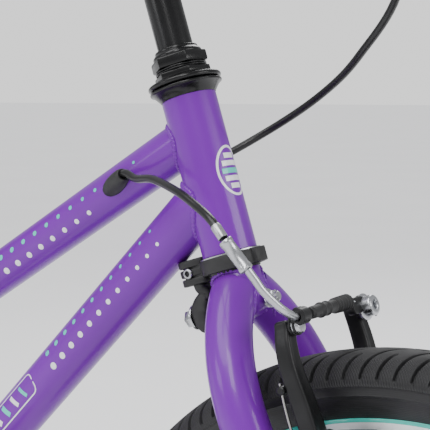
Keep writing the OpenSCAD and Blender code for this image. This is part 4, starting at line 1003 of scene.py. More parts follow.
class BIKE_OT_fork(bpy.types.Operator):
    """Fork: neck, two curved legs that taper to the axle, gusset with its bolt, brake posts and dropouts"""
    bl_idname = "bike.fork"
    bl_label = "Fork"

    def execute(self, context):
        width = context.scene.bike_looks.weld_width
        fork = Shell()
        neck = joined([12.8, 2.0], [15.2, 2.0], [NECK_R, 1.6], [NECK_R, -6], [NECK_R + 0.2, -14],
                      [NECK_R - 0.6, -20], [12.5, -25], [7.0, -28], [0.3, -29])
        fork.turned(NECK, neck[::-1], 72)
        for side in (-1, 1):
            path = fork_leg_path(side)
            radius = np.interp(np.arange(len(path)), [0, 24, 25, 31, len(path) - 1],
                               [LEG_R - 0.3, LEG_R, LEG_R, 12.6, 9])
            fork.swept(NECK(path), radius, 56)
            start = NECK(path[0])
            slope = np.array((0, side * math.sin(LEG_SPREAD), -math.cos(LEG_SPREAD)))
            leg = towards(start, NECK(path[0] + slope) - start)
            weld(fork, leg, LEG_R - 0.2, NECK, NECK_R, width * 0.8, 34, inside=0.4)
            end = FRONT_BRAKE.sideways((0, side * 52.5, 0), -1)
            slot = 5.0
            tip = joined(circle(14, 30, start=-68, end=0),
                         [(10.5, 12), (9, 24), (4, 28), (-4, 28), (-9, 24), (-10.5, 12)],
                         circle(14, 30, start=180, end=248), [(-slot, -11)],
                         circle(slot, 11, start=180, end=0)[1:-1], [(slot, -11)])
            fork.slab(end, tip, 5.0, 0.7, base=-2.5)
            post = FRONT_BRAKE.forward((0, side * PIVOT_Y, PIVOT_Z))
            wall = [[7.6, -22], [6.9, -8], [6.5, -5], [6.5, 9.3], [6.0, 9.8], [3.9, 9.8], [3.9, 22.8]]
            fork.turned(post, wall, 36)
        arch = joined([(-27, -33), (-20, -29.5), (-10, -27.6), (0, -27), (10, -27.6), (20, -29.5), (27, -33)],
                      [(27, -20), (12, -8), (-12, -8), (-27, -20)])
        web_thick, web_ahead = 6.5, 4.5
        fork.slab(NECK.forward((0, 0, 0)), arch, web_thick, 2.0, base=web_ahead - web_thick / 2, steps=4)
        enamelled(fork, "fork_shell", "fork_legs", body="steering", crease=50)
        bolt = Shell()
        front = HEAD.forward((17.8, 0, BOLT_Z))
        bolt.turned(front, [[5.6, 0], [5.8, 0.4], [5.8, 1.2], [5.4, 1.4], [4.4, 1.4]], 36)
        bolt.slab(front, hexagon(8), 4.6, 0.8, base=1.3)
        bolt.turned(front, joined([3.0, 6.0], [3.0, 7.6], [2.4, 8.2]), 24)
        rear = HEAD.moved((-35.2, 0, BOLT_Z), x=(0, -1, 0), y=(0, 0, 1), z=(-1, 0, 0))
        bolt.turned(rear, [[8.0, 0], [8.2, 0.4], [8.2, 1.4], [7.8, 1.7], [5.5, 1.7]], 36)
        bolt.slab(rear, hexagon(10), 5.8, 0.8, base=1.6)
        bolt.turned(HEAD.forward((0, 0, BOLT_Z)), [[3, -37], [3, 20]], 20)
        bolt.build("limiter_bolt_set", "steering", paint_of("zinc"), "zinc_steel", ("limiter_bolt",))
        return {"FINISHED"}


# ---------------------------------------------------------------- wheels
RIM_EDGE, RIM_IN, RIM_BED, RIM_HALF = 209.0, 188.0, 197.5, 12.5
TYRE_HALF, TYRE_HEIGHT = 23.0, 43.6


def smooth_step(x, low, high):
    """0 below low, 1 above high, and three squares less two cubes of the share between them."""
    t = np.clip((x - low) / (high - low), 0, 1)
    return t * t * (3 - 2 * t)


TREAD_ROWS = np.linspace(-76, 76, 43)
WALL_ROWS = np.array([77.5, 83, 86.5, 88.2, 89.5, 91, 93, 100, 110.5, 112.6, 114.4, 116.2, 118.5, 130, 145,
                      162, 180])
GROOVE_COLUMNS = np.array([-0.085, -0.062, -0.030, 0.030, 0.062, 0.085, 0.25])


def tyre_section():
    """The tyre's outline, as [radius, y], from one bead over the tread to the other: an ellipse above its
    widest place, and a cosine from there down to the rim. Also the arc length from the tread's middle."""
    wide_r, low_r = TYRE_R - 0.4 * TYRE_HEIGHT, RIM_EDGE + 0.8
    t = np.radians(np.concatenate([-WALL_ROWS[::-1], TREAD_ROWS, WALL_ROWS]))
    size = np.abs(t)
    upper = np.stack([wide_r + (TYRE_R - wide_r) * np.cos(size), TYRE_HALF * np.sin(size)], -1)
    fall = (size - math.pi / 2) / (math.pi / 2)
    lower = np.stack([wide_r - (wide_r - low_r) * fall,
                      RIM_HALF + (TYRE_HALF - RIM_HALF) * np.cos(fall * math.pi / 2 * 0.98)], -1)
    points = np.where((size < math.pi / 2)[:, None], upper, lower)
    points[:, 1] *= np.sign(t)
    arc = np.concatenate([[0], np.cumsum(np.linalg.norm(np.diff(points, axis=0), axis=1))])
    return points, arc - arc[len(arc) // 2]


def groove_bend(across):
    """How far a groove has run round the tyre, in periods, at a distance from the tread's middle: it
    leaves the middle at a low slant and turns to cross the shoulder squarely."""
    return 0.95 * (1 - np.exp(-np.minimum(np.abs(across), 28.5) / 9))


def tyre(place, tread_depth, repeats):
    """The section carried round the axle. The grid's lines follow the grooves: a long one from the middle
    in each period, and a short one on the shoulder half a period later, swapped on the other side."""
    points, across = tyre_section()
    slope = np.gradient(points, axis=0)
    slope /= np.linalg.norm(slope, axis=1, keepdims=True)
    out = np.stack([slope[:, 1], -slope[:, 0]], -1)
    columns = np.concatenate([GROOVE_COLUMNS, 0.5 + GROOVE_COLUMNS])
    phase = (np.arange(repeats)[:, None] + columns).reshape(-1, 1)
    angle = (phase + groove_bend(across)) * 2 * math.pi / repeats
    near = np.abs(np.mod(columns + 0.5, 1) - 0.5), np.abs(columns - 0.5)
    cuts = [np.tile(1 - smooth_step(off, 0.030, 0.068), repeats)[:, None] for off in near]
    reach = np.abs(across)[None]
    starts = [smooth_step(reach, low, low + 1.4) for low in (0.8, 9.0)]
    right = (across > 0)[None]
    cut = np.where(right, np.maximum(cuts[0] * starts[0], cuts[1] * starts[1]),
                   np.maximum(cuts[1] * starts[0], cuts[0] * starts[1]))
    lift = -tread_depth * cut * (1 - smooth_step(reach, 27.0, 28.8))
    for ring_r, rise in ((229.3, 0.6), (223.9, 0.55)):
        lift = lift + rise * np.exp(-((points[:, 0] - ring_r) / 0.6) ** 2)[None] * (reach > 27)
    flat = points[None] + lift[..., None] * out[None]
    inner = np.array([[RIM_EDGE - 2, 10.4], [RIM_EDGE - 2, -10.4]])
    flat = np.concatenate([flat, np.broadcast_to(inner[None], (len(angle), 2, 2))], 1)
    angle = np.concatenate([angle, angle[:, -1:], angle[:, :1]], 1)
    local = np.stack([flat[..., 0] * np.cos(angle), flat[..., 0] * np.sin(angle), flat[..., 1]], -1)
    return Shell().grid(place(local), wrap_u=True, wrap_v=True)


def rim(place):
    """Double-walled rim: brake tracks, rounded lips, a dished inner wall, and a thin line on each lip."""
    shell = Shell()
    side = [[RIM_BED, 10.4], [RIM_EDGE - 1.2, 10.6], [RIM_EDGE - 0.3, 10.8], [RIM_EDGE, 11.4],
            [RIM_EDGE - 0.1, 12.1], [RIM_EDGE - 0.7, RIM_HALF], [194.0, RIM_HALF], [192.6, 12.2],
            [191.2, 11.2], [189.2, 9.0], [RIM_IN, 7.2], [RIM_IN - 0.5, 4.0], [RIM_IN - 0.6, 0.0]]
    mirror = [[r, -y] for r, y in side[-2::-1]]
    shell.turned(place, np.array(side + mirror), 192, wrap=True)
    for y in (-1, 1):
        line = [[206.9, 12.4], [206.9, 12.62], [208.6, 12.64], [209.15, 12.2], [209.15, 11.5], [208.9, 11.4]]
        profile = np.array(line) * (1, y)
        shell.turned(place, profile if y > 0 else profile[::-1], 192, 1, True)
    return shell


class BIKE_OT_wheels(bpy.types.Operator):
    """Tyres with their tread, rims with a coloured lip line, and the finish of hubs, spokes, inner tubes and
    axles
    """
    bl_idname = "bike.wheels"
    bl_label = "Wheels"

    def execute(self, context):
        looks = context.scene.bike_looks
        for end, place in (("front", FRONT_WHEEL), ("rear", REAR_WHEEL)):
            tyre(place, looks.tread_depth, looks.tread_repeats).build(
                end + "_tread_tyre", end + "_wheel", paint_of(end + "_tyre"), "tyre", (end + "_tyre",))
            rim(place).build(end + "_track_rim", end + "_wheel",
                             [paint_of(end + "_rim"), paint_of("teal_line")], "silver_rim", (end + "_rim",),
                             crease=50)
            finish_node("spoke", end + "_spokes")
            finish_node("satin_black", end + "_hub")
            finish_node("rubber", end + "_tube")
            finish_node("zinc", end + "_axle")
        return {"FINISHED"}


# ---------------------------------------------------------------- brakes
PAD_X, PAD_Z, PAD_FACE = 17.0, 199.0, 14.8
NOODLE_X, NOODLE_Z = 28.0, 271.0


def brake_arm(shell, place, side):
    """One arm: a boxy section with round corners, carried up a line that bows outwards, and its boss."""
    bow = ((16, 40, 171), (16, 39.4, 182), (16, 38.6, 199), (16, 40.6, 221), (15.6, 43.4, 243),
           (15.6, 42.6, 256), (16, 40.2, 265), (16.2, 39.4, 270.5))
    line = smooth_path([(x, side * y, z) for x, y, z in bow], 6)
    share = np.linspace(0, 1, len(line))
    wide = np.interp(share, [0, 0.1, 0.35, 0.6, 0.86, 0.97, 1], [5.5, 7.8, 7.0, 5.6, 5.0, 4.9, 3.0])
    deep = np.interp(share, [0, 0.1, 0.4, 0.7, 0.93, 1], [5.2, 6.0, 5.8, 5.2, 4.6, 3.0])
    a = around(40)
    bx, by = soft_box(a, 0.42)
    channel = 1 - 0.16 * np.exp(-(bx / 0.42) ** 2) * (by > 0)
    along = directions(line)
    across = np.cross(along, [1.0, 0, 0])
    across /= np.linalg.norm(across, axis=1, keepdims=True)
    ahead = np.cross(across, along)
    shell.grid(place(sections(line, -across, ahead, wide, deep, bx, by * channel)), caps="01")
    boss = place.forward((0, side * PIVOT_Y, PIVOT_Z))
    wall = [[4.1, 9.9], [9.2, 9.9], [9.6, 10.4], [9.6, 14.5], [9.0, 15.2], [9.0, 21.2], [8.2, 22.0],
            [4.1, 22.0]]
    shell.turned(boss, wall, 40, wrap=True)
    cap_screw(shell, boss.moved((0, 0, 22.1)), 6.4, 4.4, 2.6, 1)
    eye = place.sideways((0, side * 39.6, PAD_Z), side)
    wall = [[4, -6.8], [7.2, -6.6], [7.6, -6.0], [7.6, 6.6], [7.0, 7.2], [4, 7.2]]
    shell.turned(eye.moved((PAD_X, 0, 0)), wall, 36, wrap=True)
    spring = ((9.5, 46, 172), (7.2, 47.5, 179), (6.6, 45.5, 200), (7.0, 46.6, 221), (8.2, 47.2, 238))
    wire = smooth_path(place([(x, side * y, z) for x, y, z in spring]), 5)
    shell.swept(wire, 0.85, 10, 2)
    peg = place.moved((8.6, side * 47.0, 234), x=(0, 0, 1), y=(1, 0, 0), z=(0, 1, 0))
    shell.turned(peg, [[1.9, -3], [2.6, -2.4], [2.6, 2.4], [1.9, 3]], 16)


def brake_pad(shell, place, side):
    """Pad and holder curved round the rim, grooved face, stud with dished washers and a nut."""
    mid = math.atan2(PAD_X, PAD_Z)
    angle = mid + np.linspace(-29, 29, 59) / PAD_Z
    end = np.clip((29 - np.abs(angle - mid) * PAD_Z) / 5, 0, 1) ** 0.5
    a = around(24)
    bx, by = soft_box(a, 0.4)
    for near, far, high, paint in ((PAD_FACE, PAD_FACE + 6.2, 4.8, 0),
                                   (PAD_FACE + 5.6, PAD_FACE + 9.4, 5.3, 1)):
        middle, half = (near + far) / 2, (far - near) / 2
        groove = 0.9 * (np.abs(np.mod((angle - mid) * PAD_Z + 9, 18) - 9) < 0.8) * (paint == 0)
        y = middle + half * by[None] + (groove[:, None] * (by < -0.5)[None])
        r = PAD_Z + (high * (0.35 + 0.65 * end))[:, None] * bx[None]
        points = np.stack([r * np.sin(angle)[:, None], side * y, r * np.cos(angle)[:, None]], -1)
        shell.grid(place(points), caps="01", paint=paint, flip=side < 0)
    stud = place.sideways((PAD_X, 0, PAD_Z), side)
    out = PIVOT_Y + 7.2
    shell.turned(stud, [[3, PAD_FACE + 8], [3, out + 9.5], [2.4, out + 10.2]], 20, 2)
    inner = [[3, PAD_FACE + 9], [6.2, PAD_FACE + 9.4], [7.0, PAD_FACE + 11], [7.2, 28.5], [6.0, 31.8],
             [3, 32.6]]
    outer = [[3, out], [7.0, out], [7.2, out + 1.4], [5.8, out + 3.0], [3, out + 3.0]]
    for washer in (inner, outer):
        shell.turned(stud, washer, 28, 2, True)
    shell.slab(stud, hexagon(10), 4.6, 0.7, 2, base=out + 3.0)


def noodle_side(shell, place):
    """Link, cradle, curved steel pipe and ferrule on the arm that the cable reaches first."""
    pin = place.forward((0, -PIVOT_Y, arm_top()))
    shell.turned(pin, joined([2, 20], [3.9, 20.4], [4.2, 20.9], [4.2, 26.6],
                             arc_profile((3.4, 26.8), 0.7, 0, 80, 4), [0.4, 27.7]), 28, 1)
    plate = joined(circle(5.0, 14, (0, 0), 170, 350), circle(4.6, 12, (7.5, 5.6), -30, 120), [(-1.5, 7.2)])
    for x in (20.9, 23.6):
        shell.slab(place.forward((x, -PIVOT_Y, arm_top())), plate, 1.4, 0.35)
    cradle = place.sideways((NOODLE_X, -PIVOT_Y - 4, NOODLE_Z), 1)
    wall = [[2.7, 0], [4.4, 0.2], [4.9, 0.8], [4.9, 8.4], [4.2, 9.2], [2.7, 9.2]]
    shell.turned(cradle, wall, 32, wrap=True)
    shell.slab(place.forward((NOODLE_X - 5.2, -PIVOT_Y + 0.5, NOODLE_Z - 1.5)),
               rounded_box(8, 9, 2.2), 3.4, 0.6)
    route = [(20, -68, 304), (21.7, -65, 296), (23.3, -62, 288.4), (26.2, -54.6, 277.9), (27.5, -47, 272.4),
             (28.1, -40, 271.1), (28, -33, 271)]
    shell.swept(smooth_path(place(route), 8), 2.35, 24, 1)
    low, high = np.array((20.4, -68.4, 302.6)), np.array((14.0, -72.0, 321.0))
    tube = towards(place(low), place(high) - place(low))
    length = np.linalg.norm(high - low)
    shell.turned(tube, joined([2.3, -0.6], [3.6, -0.4], [4.2, 0.2], [4.2, 2.2], [3.9, 2.6],
                              [3.9, length - 2.8], [4.2, length - 2.4], [4.2, length - 0.6], [3.7, length],
                              [2.4, length]), 8, 1)


def arm_top():
    """Height of the arms' ends above the axle."""
    return PIVOT_Z + ARM_LENGTH


def bellows(place):
    """Rubber boot: a smooth sleeve over the pipe's end, then ribs that grow towards the far arm."""
    start, end = -30.0, 17.5
    y = np.linspace(start, end, 150)
    share = (y - start) / (end - start)
    base = np.interp(share, [0, 0.05, 0.5, 0.56, 0.92, 1.0], [3.0, 3.6, 3.7, 4.0, 4.4, 3.0])
    ribbed = smooth_step(share, 0.55, 0.62) * (1 - smooth_step(share, 0.93, 0.97))
    rib = 0.6 * np.cos((y - 2.0) / 3.0 * 2 * math.pi) * ribbed
    collar = 0.9 * np.exp(-((share - 0.26) / 0.03) ** 2) + 0.7 * np.exp(-((share - 0.40) / 0.02) ** 2)
    sleeve = place.sideways((NOODLE_X, 0, NOODLE_Z), 1)
    return Shell().turned(sleeve, np.stack([base + rib + collar, y], -1), 40)


def anchor_side(shell, place):
    """The cable's anchor on the far arm: a domed bolt with a socket, its washers and the cable's tail."""
    bolt = place.forward((0, PIVOT_Y, arm_top() - 1))
    washer = [[3, 21.2], [7.4, 21.2], [7.8, 21.8], [7.8, 23.2], [7.2, 23.8], [3, 23.8]]
    shell.turned(bolt, washer, 36, wrap=True)
    shell.slab(bolt.moved((-7.5, 2.2, 0)), rounded_box(17, 10, 3.2), 5.6, 0.9, base=20.6)
    shell.swept(place([(NOODLE_X, 15, NOODLE_Z), (26.5, 24, 270.4), (24.8, 30, 269.5)]), 0.8, 10, 1)
    head = joined([3.2, 23.9], [8.0, 23.9], [8.3, 24.5], [8.3, 25.4], [7.6, 26.0], [6.5, 26.2], [6.4, 30.4],
                  arc_profile((4.6, 30.4), 1.8, 5, 80, 5), [3.1, 32.2], [2.8, 31.8], [2.8, 28.6])
    shell.turned(bolt, head, 40, 1)
    shell.swept(smooth_path(place([(24.5, 20, 270), (24.6, 33, 268.5), (24.6, 41, 267.6), (24.8, 47, 264.5),
                                   (25.2, 50.5, 258)]), 5),
                0.8, 10, 1)


class BIKE_OT_brakes(bpy.types.Operator):
    """Both rim brakes: arms, springs, pads, link, noodle, boot and cable anchor"""
    bl_idname = "bike.brakes"
    bl_label = "Brakes"

    def execute(self, context):
        arm_paints = [paint_of("cast_black"), paint_of("zinc"), paint_of("steel")]
        pad_paints = [paint_of("pad_grey"), paint_of("plastic"), paint_of("cast_black")]
        ends = (("front", FRONT_BRAKE, "right", "left"), ("rear", REAR_BRAKE, "left", "right"))
        for end, place, link, anchor in ends:
            for side, hand in ((-1, link), (1, anchor)):
                body = end + "_brake_" + hand
                arm = Shell()
                brake_arm(arm, place, side)
                if side < 0:
                    noodle_side(arm, place)
                else:
                    anchor_side(arm, place)
                arm.build(f"{end}_{hand}_brake_arm", body, arm_paints, "grey_alloy", (f"{end}_arm_{hand}",))
                pad = Shell()
                brake_pad(pad, place, side)
                nodes = (f"front_pad_{hand}",) if end == "front" else ()
                pad.build(f"{end}_{hand}_brake_pad", body, pad_paints, "brake_pad", nodes)
            boot = bellows(place).build(end + "_bellows", f"{end}_brake_{link}", paint_of("rubber"),
                                        "soft_rubber")
            tuple(place((NOODLE_X, -33, NOODLE_Z)))
            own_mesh(boot)
        return {"FINISHED"}


# ---------------------------------------------------------------- cables
PORT_RUN = 59.0
PORT_OUT, PORT_FLARE = 16.6, 0.36
EXIT_RUN = TOP_LENGTH / MM - 62


def at_head(*p):
    """A point given from the top of the head tube along the bike's own axes."""
    return HEAD.origin + np.array(p) * MM


def hole_point(run, way, side, t):
    """A cable's place t millimetres out of its port, beside the top tube."""
    aside = side * (PORT_OUT + PORT_FLARE * t)
    return TOP_JOINT + (run - way * t) * MM * TOP_DIR + np.array((0, aside, 0)) * MM


def housing_end():
    """Where a housing stops, in a brake's frame: 1 mm past the end of its ferrule."""
    top, start = np.array((14.0, -72.0, 321.0)), np.array((20.0, -68.0, 304.0))
    return top + unit(top - start)


class BIKE_OT_cables(bpy.types.Operator):
    """Both brake cable housings with their end caps, and the moulded ports in the top tube"""
    bl_idname = "bike.cables"
    bl_label = "Cables"

    def execute(self, context):
        paints = [paint_of("cable"), paint_of("silver")]
        lever = [BIKE((289.25, -144, 834.47))] + [at_head(*p) for p in (
            (100, -110, 190), (135, -60, 165), (148, -10, 125), (122, 40, 65), (87, 58, 26), (54, 70, 2),
            (13, 72, -22), (-20, 43, -45))]
        lever += [hole_point(PORT_RUN, 1, 1, t) for t in (11, 0, -10, -30)]
        lever += [hole_point(EXIT_RUN, -1, 1, t) for t in (-30, -10, 0, 11, 24)]
        lever += [REAR_BRAKE(p) for p in ((10, -46, 392), (10, -66, 356), (8, -74.5, 337), housing_end())]
        front = [FRONT_BRAKE(housing_end())] + [at_head(*p) for p in (
            (64, -70, -66), (50, -63, -60), (31, -55, -53), (1, -38, -48), (-20, -27, -49))]
        front += [hole_point(PORT_RUN, 1, -1, t) for t in (11, 0, -10, -30)]
        front += [hole_point(EXIT_RUN, -1, -1, t) for t in (-30, -10, 0, 11, 24)]
        front += [REAR_BRAKE(p) for p in ((-6, 44, 372), (4, 50, 330))]
        lever_bend = ("steering", at_head(-20, 43, -45), lever[0])
        front_bend = ("steering", at_head(-20, -27, -49), front[0])
        cap = [[2.1, 0], [2.75, 0.2], [2.95, 0.7], [2.95, 8.6], [2.75, 9.1], [2.5, 9.4]]
        for name, route, bend in (("lever_cable", lever, lever_bend), ("front_cable", front, front_bend)):
            shell = Shell()
            path = smooth_path(route, 10)
            shell.swept(path, 2.5, 20)
            for end, inner in ((path[0], path[1]), (path[-1], path[-2])):
                shell.turned(towards(end, inner - end), cap, 24, 1)
            shell.build(name + "_housing", "frame", paints, "cable_housing", (name,), bend=bend)
        ports = Shell()
        bullet = joined([0.3, -9], [2.6, -7.5], [4.6, -3], [5.9, 3], [6.3, 9], [6.0, 15], [5.2, 21.5],
                        [4.5, 23.8], [3.8, 24.6], [2.7, 24.2], [2.6, 20])
        for run, way in ((PORT_RUN, 1), (EXIT_RUN, -1)):
            for side in (-1, 1):
                back = hole_point(run, way, side, -13) - np.array((0, side * 2.6, 0)) * MM
                ports.turned(towards(back, hole_point(run, way, side, 10) - back), bullet, 40)
        ports.build("cable_port_shells", "frame", paint_of("plastic"), "black_plastic", ("cable_ports",))
        return {"FINISHED"}


# ---------------------------------------------------------------- cockpit
BAR_CENTRE = np.array((268.25, 0, 752.47))
BAR_BEND = np.array((262.25, 95, 830.47))
BAR_END = np.array((223.25, 290, 835.47))
BAR_R, GRIP_L = 11.1, 108.0
GRIP_START = np.linalg.norm(BAR_END - BAR_BEND) - GRIP_L
PULL = JOINTS["lever_pull"]
RIGHT_OUT = unit((BAR_END - BAR_BEND) * (1, -1, 1))
LEVER_X = unit(PULL["axis"])
LEVER = Place(PULL["pos_m"], LEVER_X, np.cross(RIGHT_OUT, LEVER_X), RIGHT_OUT).moved((0, -30, -5.5))


class BIKE_OT_cockpit(bpy.types.Operator):
    """Handlebar, ribbed grips, brake lever and the finish of the stem"""
    bl_idname = "bike.cockpit"
    bl_label = "Cockpit"

    def execute(self, context):
        bar = Shell()
        flat = (0, 34, 0)
        points = [BAR_END * (1, -1, 1), BAR_BEND * (1, -1, 1), BAR_CENTRE - flat, BAR_CENTRE + flat, BAR_BEND,
                  BAR_END]
        bar.swept(BIKE(rounded_path(points, 45, 5)), BAR_R, 48)
        sleeve = facing_right(BIKE(BAR_CENTRE))
        bar.turned(sleeve, [[BAR_R, -26], [12.4, -25], [12.7, -24], [12.7, 24], [12.4, 25], [BAR_R, 26]], 64)
        bar.build("handlebar_tube", "steering", paint_of("gloss_black"), "black_paint", ("handlebar",))
        grip = Shell()
        ribs = context.scene.bike_looks.rib_count
        for side in (-1, 1):
            out = unit((BAR_END - BAR_BEND) * (1, side, 1))
            place = towards(BIKE(BAR_BEND * (1, side, 1)), out)
            z = np.linspace(7, GRIP_L - 7, ribs * 10)
            wave = 14.6 + 0.75 * np.cos(np.linspace(0, ribs * 2 * math.pi, len(z)))
            body = np.column_stack([wave, GRIP_START + z])
            start = GRIP_START
            profile = joined([11.2, start], [17.5, start], arc_profile((17.9, start + 2), 2.0, -80, 80, 9),
                             [15.2, start + 5], body, [15.0, start + GRIP_L - 4],
                             arc_profile((15.2, start + GRIP_L + 0.4), 1.8, -60, 60, 7),
                             [13.5, start + GRIP_L + 3.6], [6, start + GRIP_L + 4], [0.3, start + GRIP_L + 4])
            grip.turned(place, profile, 56)
        grip.build("ribbed_grips", "steering", paint_of("rubber"), "soft_rubber", ("grips",))
        lever = Shell()
        bow = ((33, 8), (37.5, 15), (42.5, 26), (44.6, 40), (44.0, 60), (42.2, 80), (42.0, 97))
        blade = smooth_path([(0, y, z) for y, z in bow], 8)
        share = np.linspace(0, 1, len(blade))
        wide = np.interp(share, [0, 0.12, 0.3, 0.8, 0.95, 1], [2.3, 3.2, 4.6, 5.2, 5.4, 3.5])
        deep = np.interp(share, [0, 0.2, 0.5, 0.9, 0.97, 1], [6.0, 5.5, 4.2, 4.2, 5.0, 3.2])
        along = directions(blade)
        flat = np.broadcast_to([1.0, 0, 0], along.shape)
        rise = np.cross(along, flat)
        lever.grid(LEVER(sections(blade, flat, rise, wide, deep, *soft_box(around(36), 0.6))), caps="01")
        pivot = LEVER.forward((0, 30, 5.5))
        lever.turned(pivot, [[4.2, -2.3], [5.0, -2.0], [5.0, 2.0], [4.2, 2.3]], 36)
        lever.build("lever_blade", "brake_lever", paint_of("satin_black"), "black_alloy", ("brake_lever",))
        mount = Shell()
        mount.turned(pivot, [[3.6, -8.6], [3.9, -8.2], [3.9, -6.2]], 28)
        mount.turned(pivot, [[3.9, 6.2], [3.9, 8.2], [3.6, 8.6]], 28)
        barrel = LEVER.moved((0, 28, -23), x=(0, 1, 0), y=(-1, 0, 0))
        knurl = circle(5.6, 72)
        knurl[::2] *= 0.955
        mount.slab(barrel, knurl, 6, 0.5)
        mount.turned(barrel, [[3.4, -6], [4.0, -5.4], [4.0, 0.4]], 28)
        mount.build("lever_fittings", "steering", paint_of("zinc"), "zinc_steel")
        finish_node("gloss_black", "stem")
        finish_node("zinc", "stem_bolts")
        finish_node("cast_black", "lever_bracket")
        return {"FINISHED"}


# ---------------------------------------------------------------- drive
class BIKE_OT_drive(bpy.types.Operator):
    """Spindle end caps, pedal reflectors, treads, and the finish of the chain and its wheels"""
    bl_idname = "bike.drive"
    bl_label = "Drive"

    def execute(self, context):
        for side, hand in ((-1, "right"), (1, "left")):
            low, high = (np.array(corner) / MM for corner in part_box(hand + "_pedal"))
            middle, size = (low + high) / 2, high - low
            lens = Shell()
            studs = Shell()
            for way in (-1, 1):
                face = Place(BIKE(middle + (way * (size[0] / 2 - 0.6), 0, 0)), (0, way, 0), (0, 0, 1),
                             (way, 0, 0))
                lens.slab(face, rounded_box(size[1] - 26, 13, 2.5), 1.8, 0.6)
                for k in range(5):
                    for row in (-1, 1):
                        spot = middle + (row * (size[0] / 2 - 4), (k - 2) * (size[1] - 16) / 4,
                                         way * (size[2] / 2 - 0.4))
                        pin = Place(BIKE(spot), (1, 0, 0), (0, way, 0), (0, 0, way))
                        studs.turned(pin, [[2.4, 0], [2.1, 0.9], [1.2, 1.5]], 12)
            lens.build(hand + "_pedal_lens", hand + "_pedal", paint_of("amber"), "black_plastic")
            studs.build(hand + "_pedal_studs", hand + "_pedal", paint_of("plastic"), "black_plastic")
        caps = Shell()
        low, high = (np.array(corner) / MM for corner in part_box("crank_spindle"))
        for side, y in ((-1, low[1]), (1, high[1])):
            end = BIKE.sideways((CRANK[0] / MM, y, CRANK[2] / MM), side)
            dome = joined([8.5, -0.5], [9.0, 0], [9.0, 1.6], arc_profile((7.4, 1.6), 1.6, 5, 85, 5),
                          [0.3, 3.2])
            caps.turned(end, dome, 40)
        caps.build("spindle_caps", "crank", paint_of("plastic"), "black_plastic")
        finish_node("chain", "chain", "freewheel")
        finish_node("gloss_black", "chainring")
        finish_node("satin_black", "crank_arms")
        finish_node("zinc", "crank_spindle", "pedal_axles", "bottom_bracket_cups")
        finish_node("plastic", "right_pedal", "left_pedal")
        return {"FINISHED"}


# ---------------------------------------------------------------- seat
class BIKE_OT_seat(bpy.types.Operator):
    """Saddle: a crowned padded top with a piped seam, and the finish of its base, rails and post"""
    bl_idname = "bike.seat"
    bl_label = "Seat"

    def execute(self, context):
        low, high = (np.array(corner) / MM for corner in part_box("saddle_pad"))
        length, tall = high[0] - low[0], high[2] - low[2]
        u = np.linspace(0, 1, 72)
        nose = 1 - u
        half = np.interp(nose, [0, 0.06, 0.22, 0.38, 0.62, 0.86, 1.0], [54, 66, 74.4, 64, 30, 20, 15])
        kernel = np.ones(7) / 7
        half = np.convolve(np.pad(half, 3, mode="edge"), kernel, mode="valid")
        ends = np.sqrt(np.clip(1 - ((u - 0.5) * 2) ** 10, 0.0, 1))
        half = np.maximum(half * (0.05 + 0.95 * ends), 0.8)
        crown = tall * (0.80 + 0.16 * np.cos((u - 0.08) * 2 * math.pi)) * (0.35 + 0.65 * ends)
        x = low[0] + length * (0.5 - 0.5 * np.cos(math.pi * u)) * 0.35 + length * u * 0.65
        a = around(96)
        c, s = np.cos(a), np.sin(a)
        y = np.sign(c) * np.abs(c) ** 0.75
        top = np.where(s > 0, np.abs(s) ** 0.85, 0)
        pulled = np.where(s > 0, 1.0, 1.0 - 0.10 * np.abs(s))
        reach = smooth_step(u, 0.12, 0.3) * (1 - smooth_step(u, 0.62, 0.85))
        channel = 1 - 0.16 * np.exp(-(y / 0.16) ** 2)[None] * reach[:, None]
        z = low[2] + 1.6 * (s > 0)[None] + (crown[:, None] - 1.6) * top[None] * channel
        z = np.where((s <= 0)[None], low[2] + 1.6 * (1 - np.abs(s))[None], z)
        points = np.stack([np.broadcast_to(x[:, None], z.shape), -half[:, None] * y * pulled, z], -1)
        pad = Shell().grid(BIKE(points), caps="01")
        right, left = (np.stack([x, side * half, np.full_like(x, low[2] + 2.2)], -1) for side in (-1, 1))
        pad.swept(BIKE(np.concatenate([right[3:-3], left[::-1][3:-3]])), 1.1, 10, 1, closed=True)
        cover = pad.build("saddle_cover", "seat", [paint_of("vinyl"), paint_of("thread")], "saddle_cover",
                          ("saddle_pad",), crease=60)
        finish_node("plastic", "saddle_base")
        finish_node("gloss_black", "saddle_rails", "seat_collar")
        finish_node("satin_black", "seatpost")
        return {"FINISHED"}


# ---------------------------------------------------------------- rest of the frame and the stage
class BIKE_OT_hidden_parts(bpy.types.Operator):
    """Finish of the bearings, steerer and crown race, which show at the edges of what covers them"""
    bl_idname = "bike.hidden_parts"
    bl_label = "Inner parts"

    def execute(self, context):
        finish_node("zinc", "headset_bearings")
        finish_node("gloss_black", "fork_steerer", "crown_race")
        return {"FINISHED"}


def seen_from(place, axes):
    """The matrix of a light or camera at a place, looking against the last of its three axes."""
    return Matrix([(*np.array(axes)[:, i], place[i]) for i in range(3)] + [(0, 0, 0, 1)])


def area_light(name, place, target, size, power, color=(1, 1, 1)):
    """A rectangular light at a place, turned towards the target."""
    data = bpy.data.lights.new(name, "AREA")
    data.shape, data.size, data.size_y = "RECTANGLE", size[0], size[1]
    data.energy, data.color = power, color
    lamp = bpy.data.objects.new(name, data)
    view = towards(place, np.array(place, float) - np.array(target, float))
    lamp.matrix_world = seen_from(view.origin, view.axes)
    bpy.context.scene.collection.objects.link(lamp)


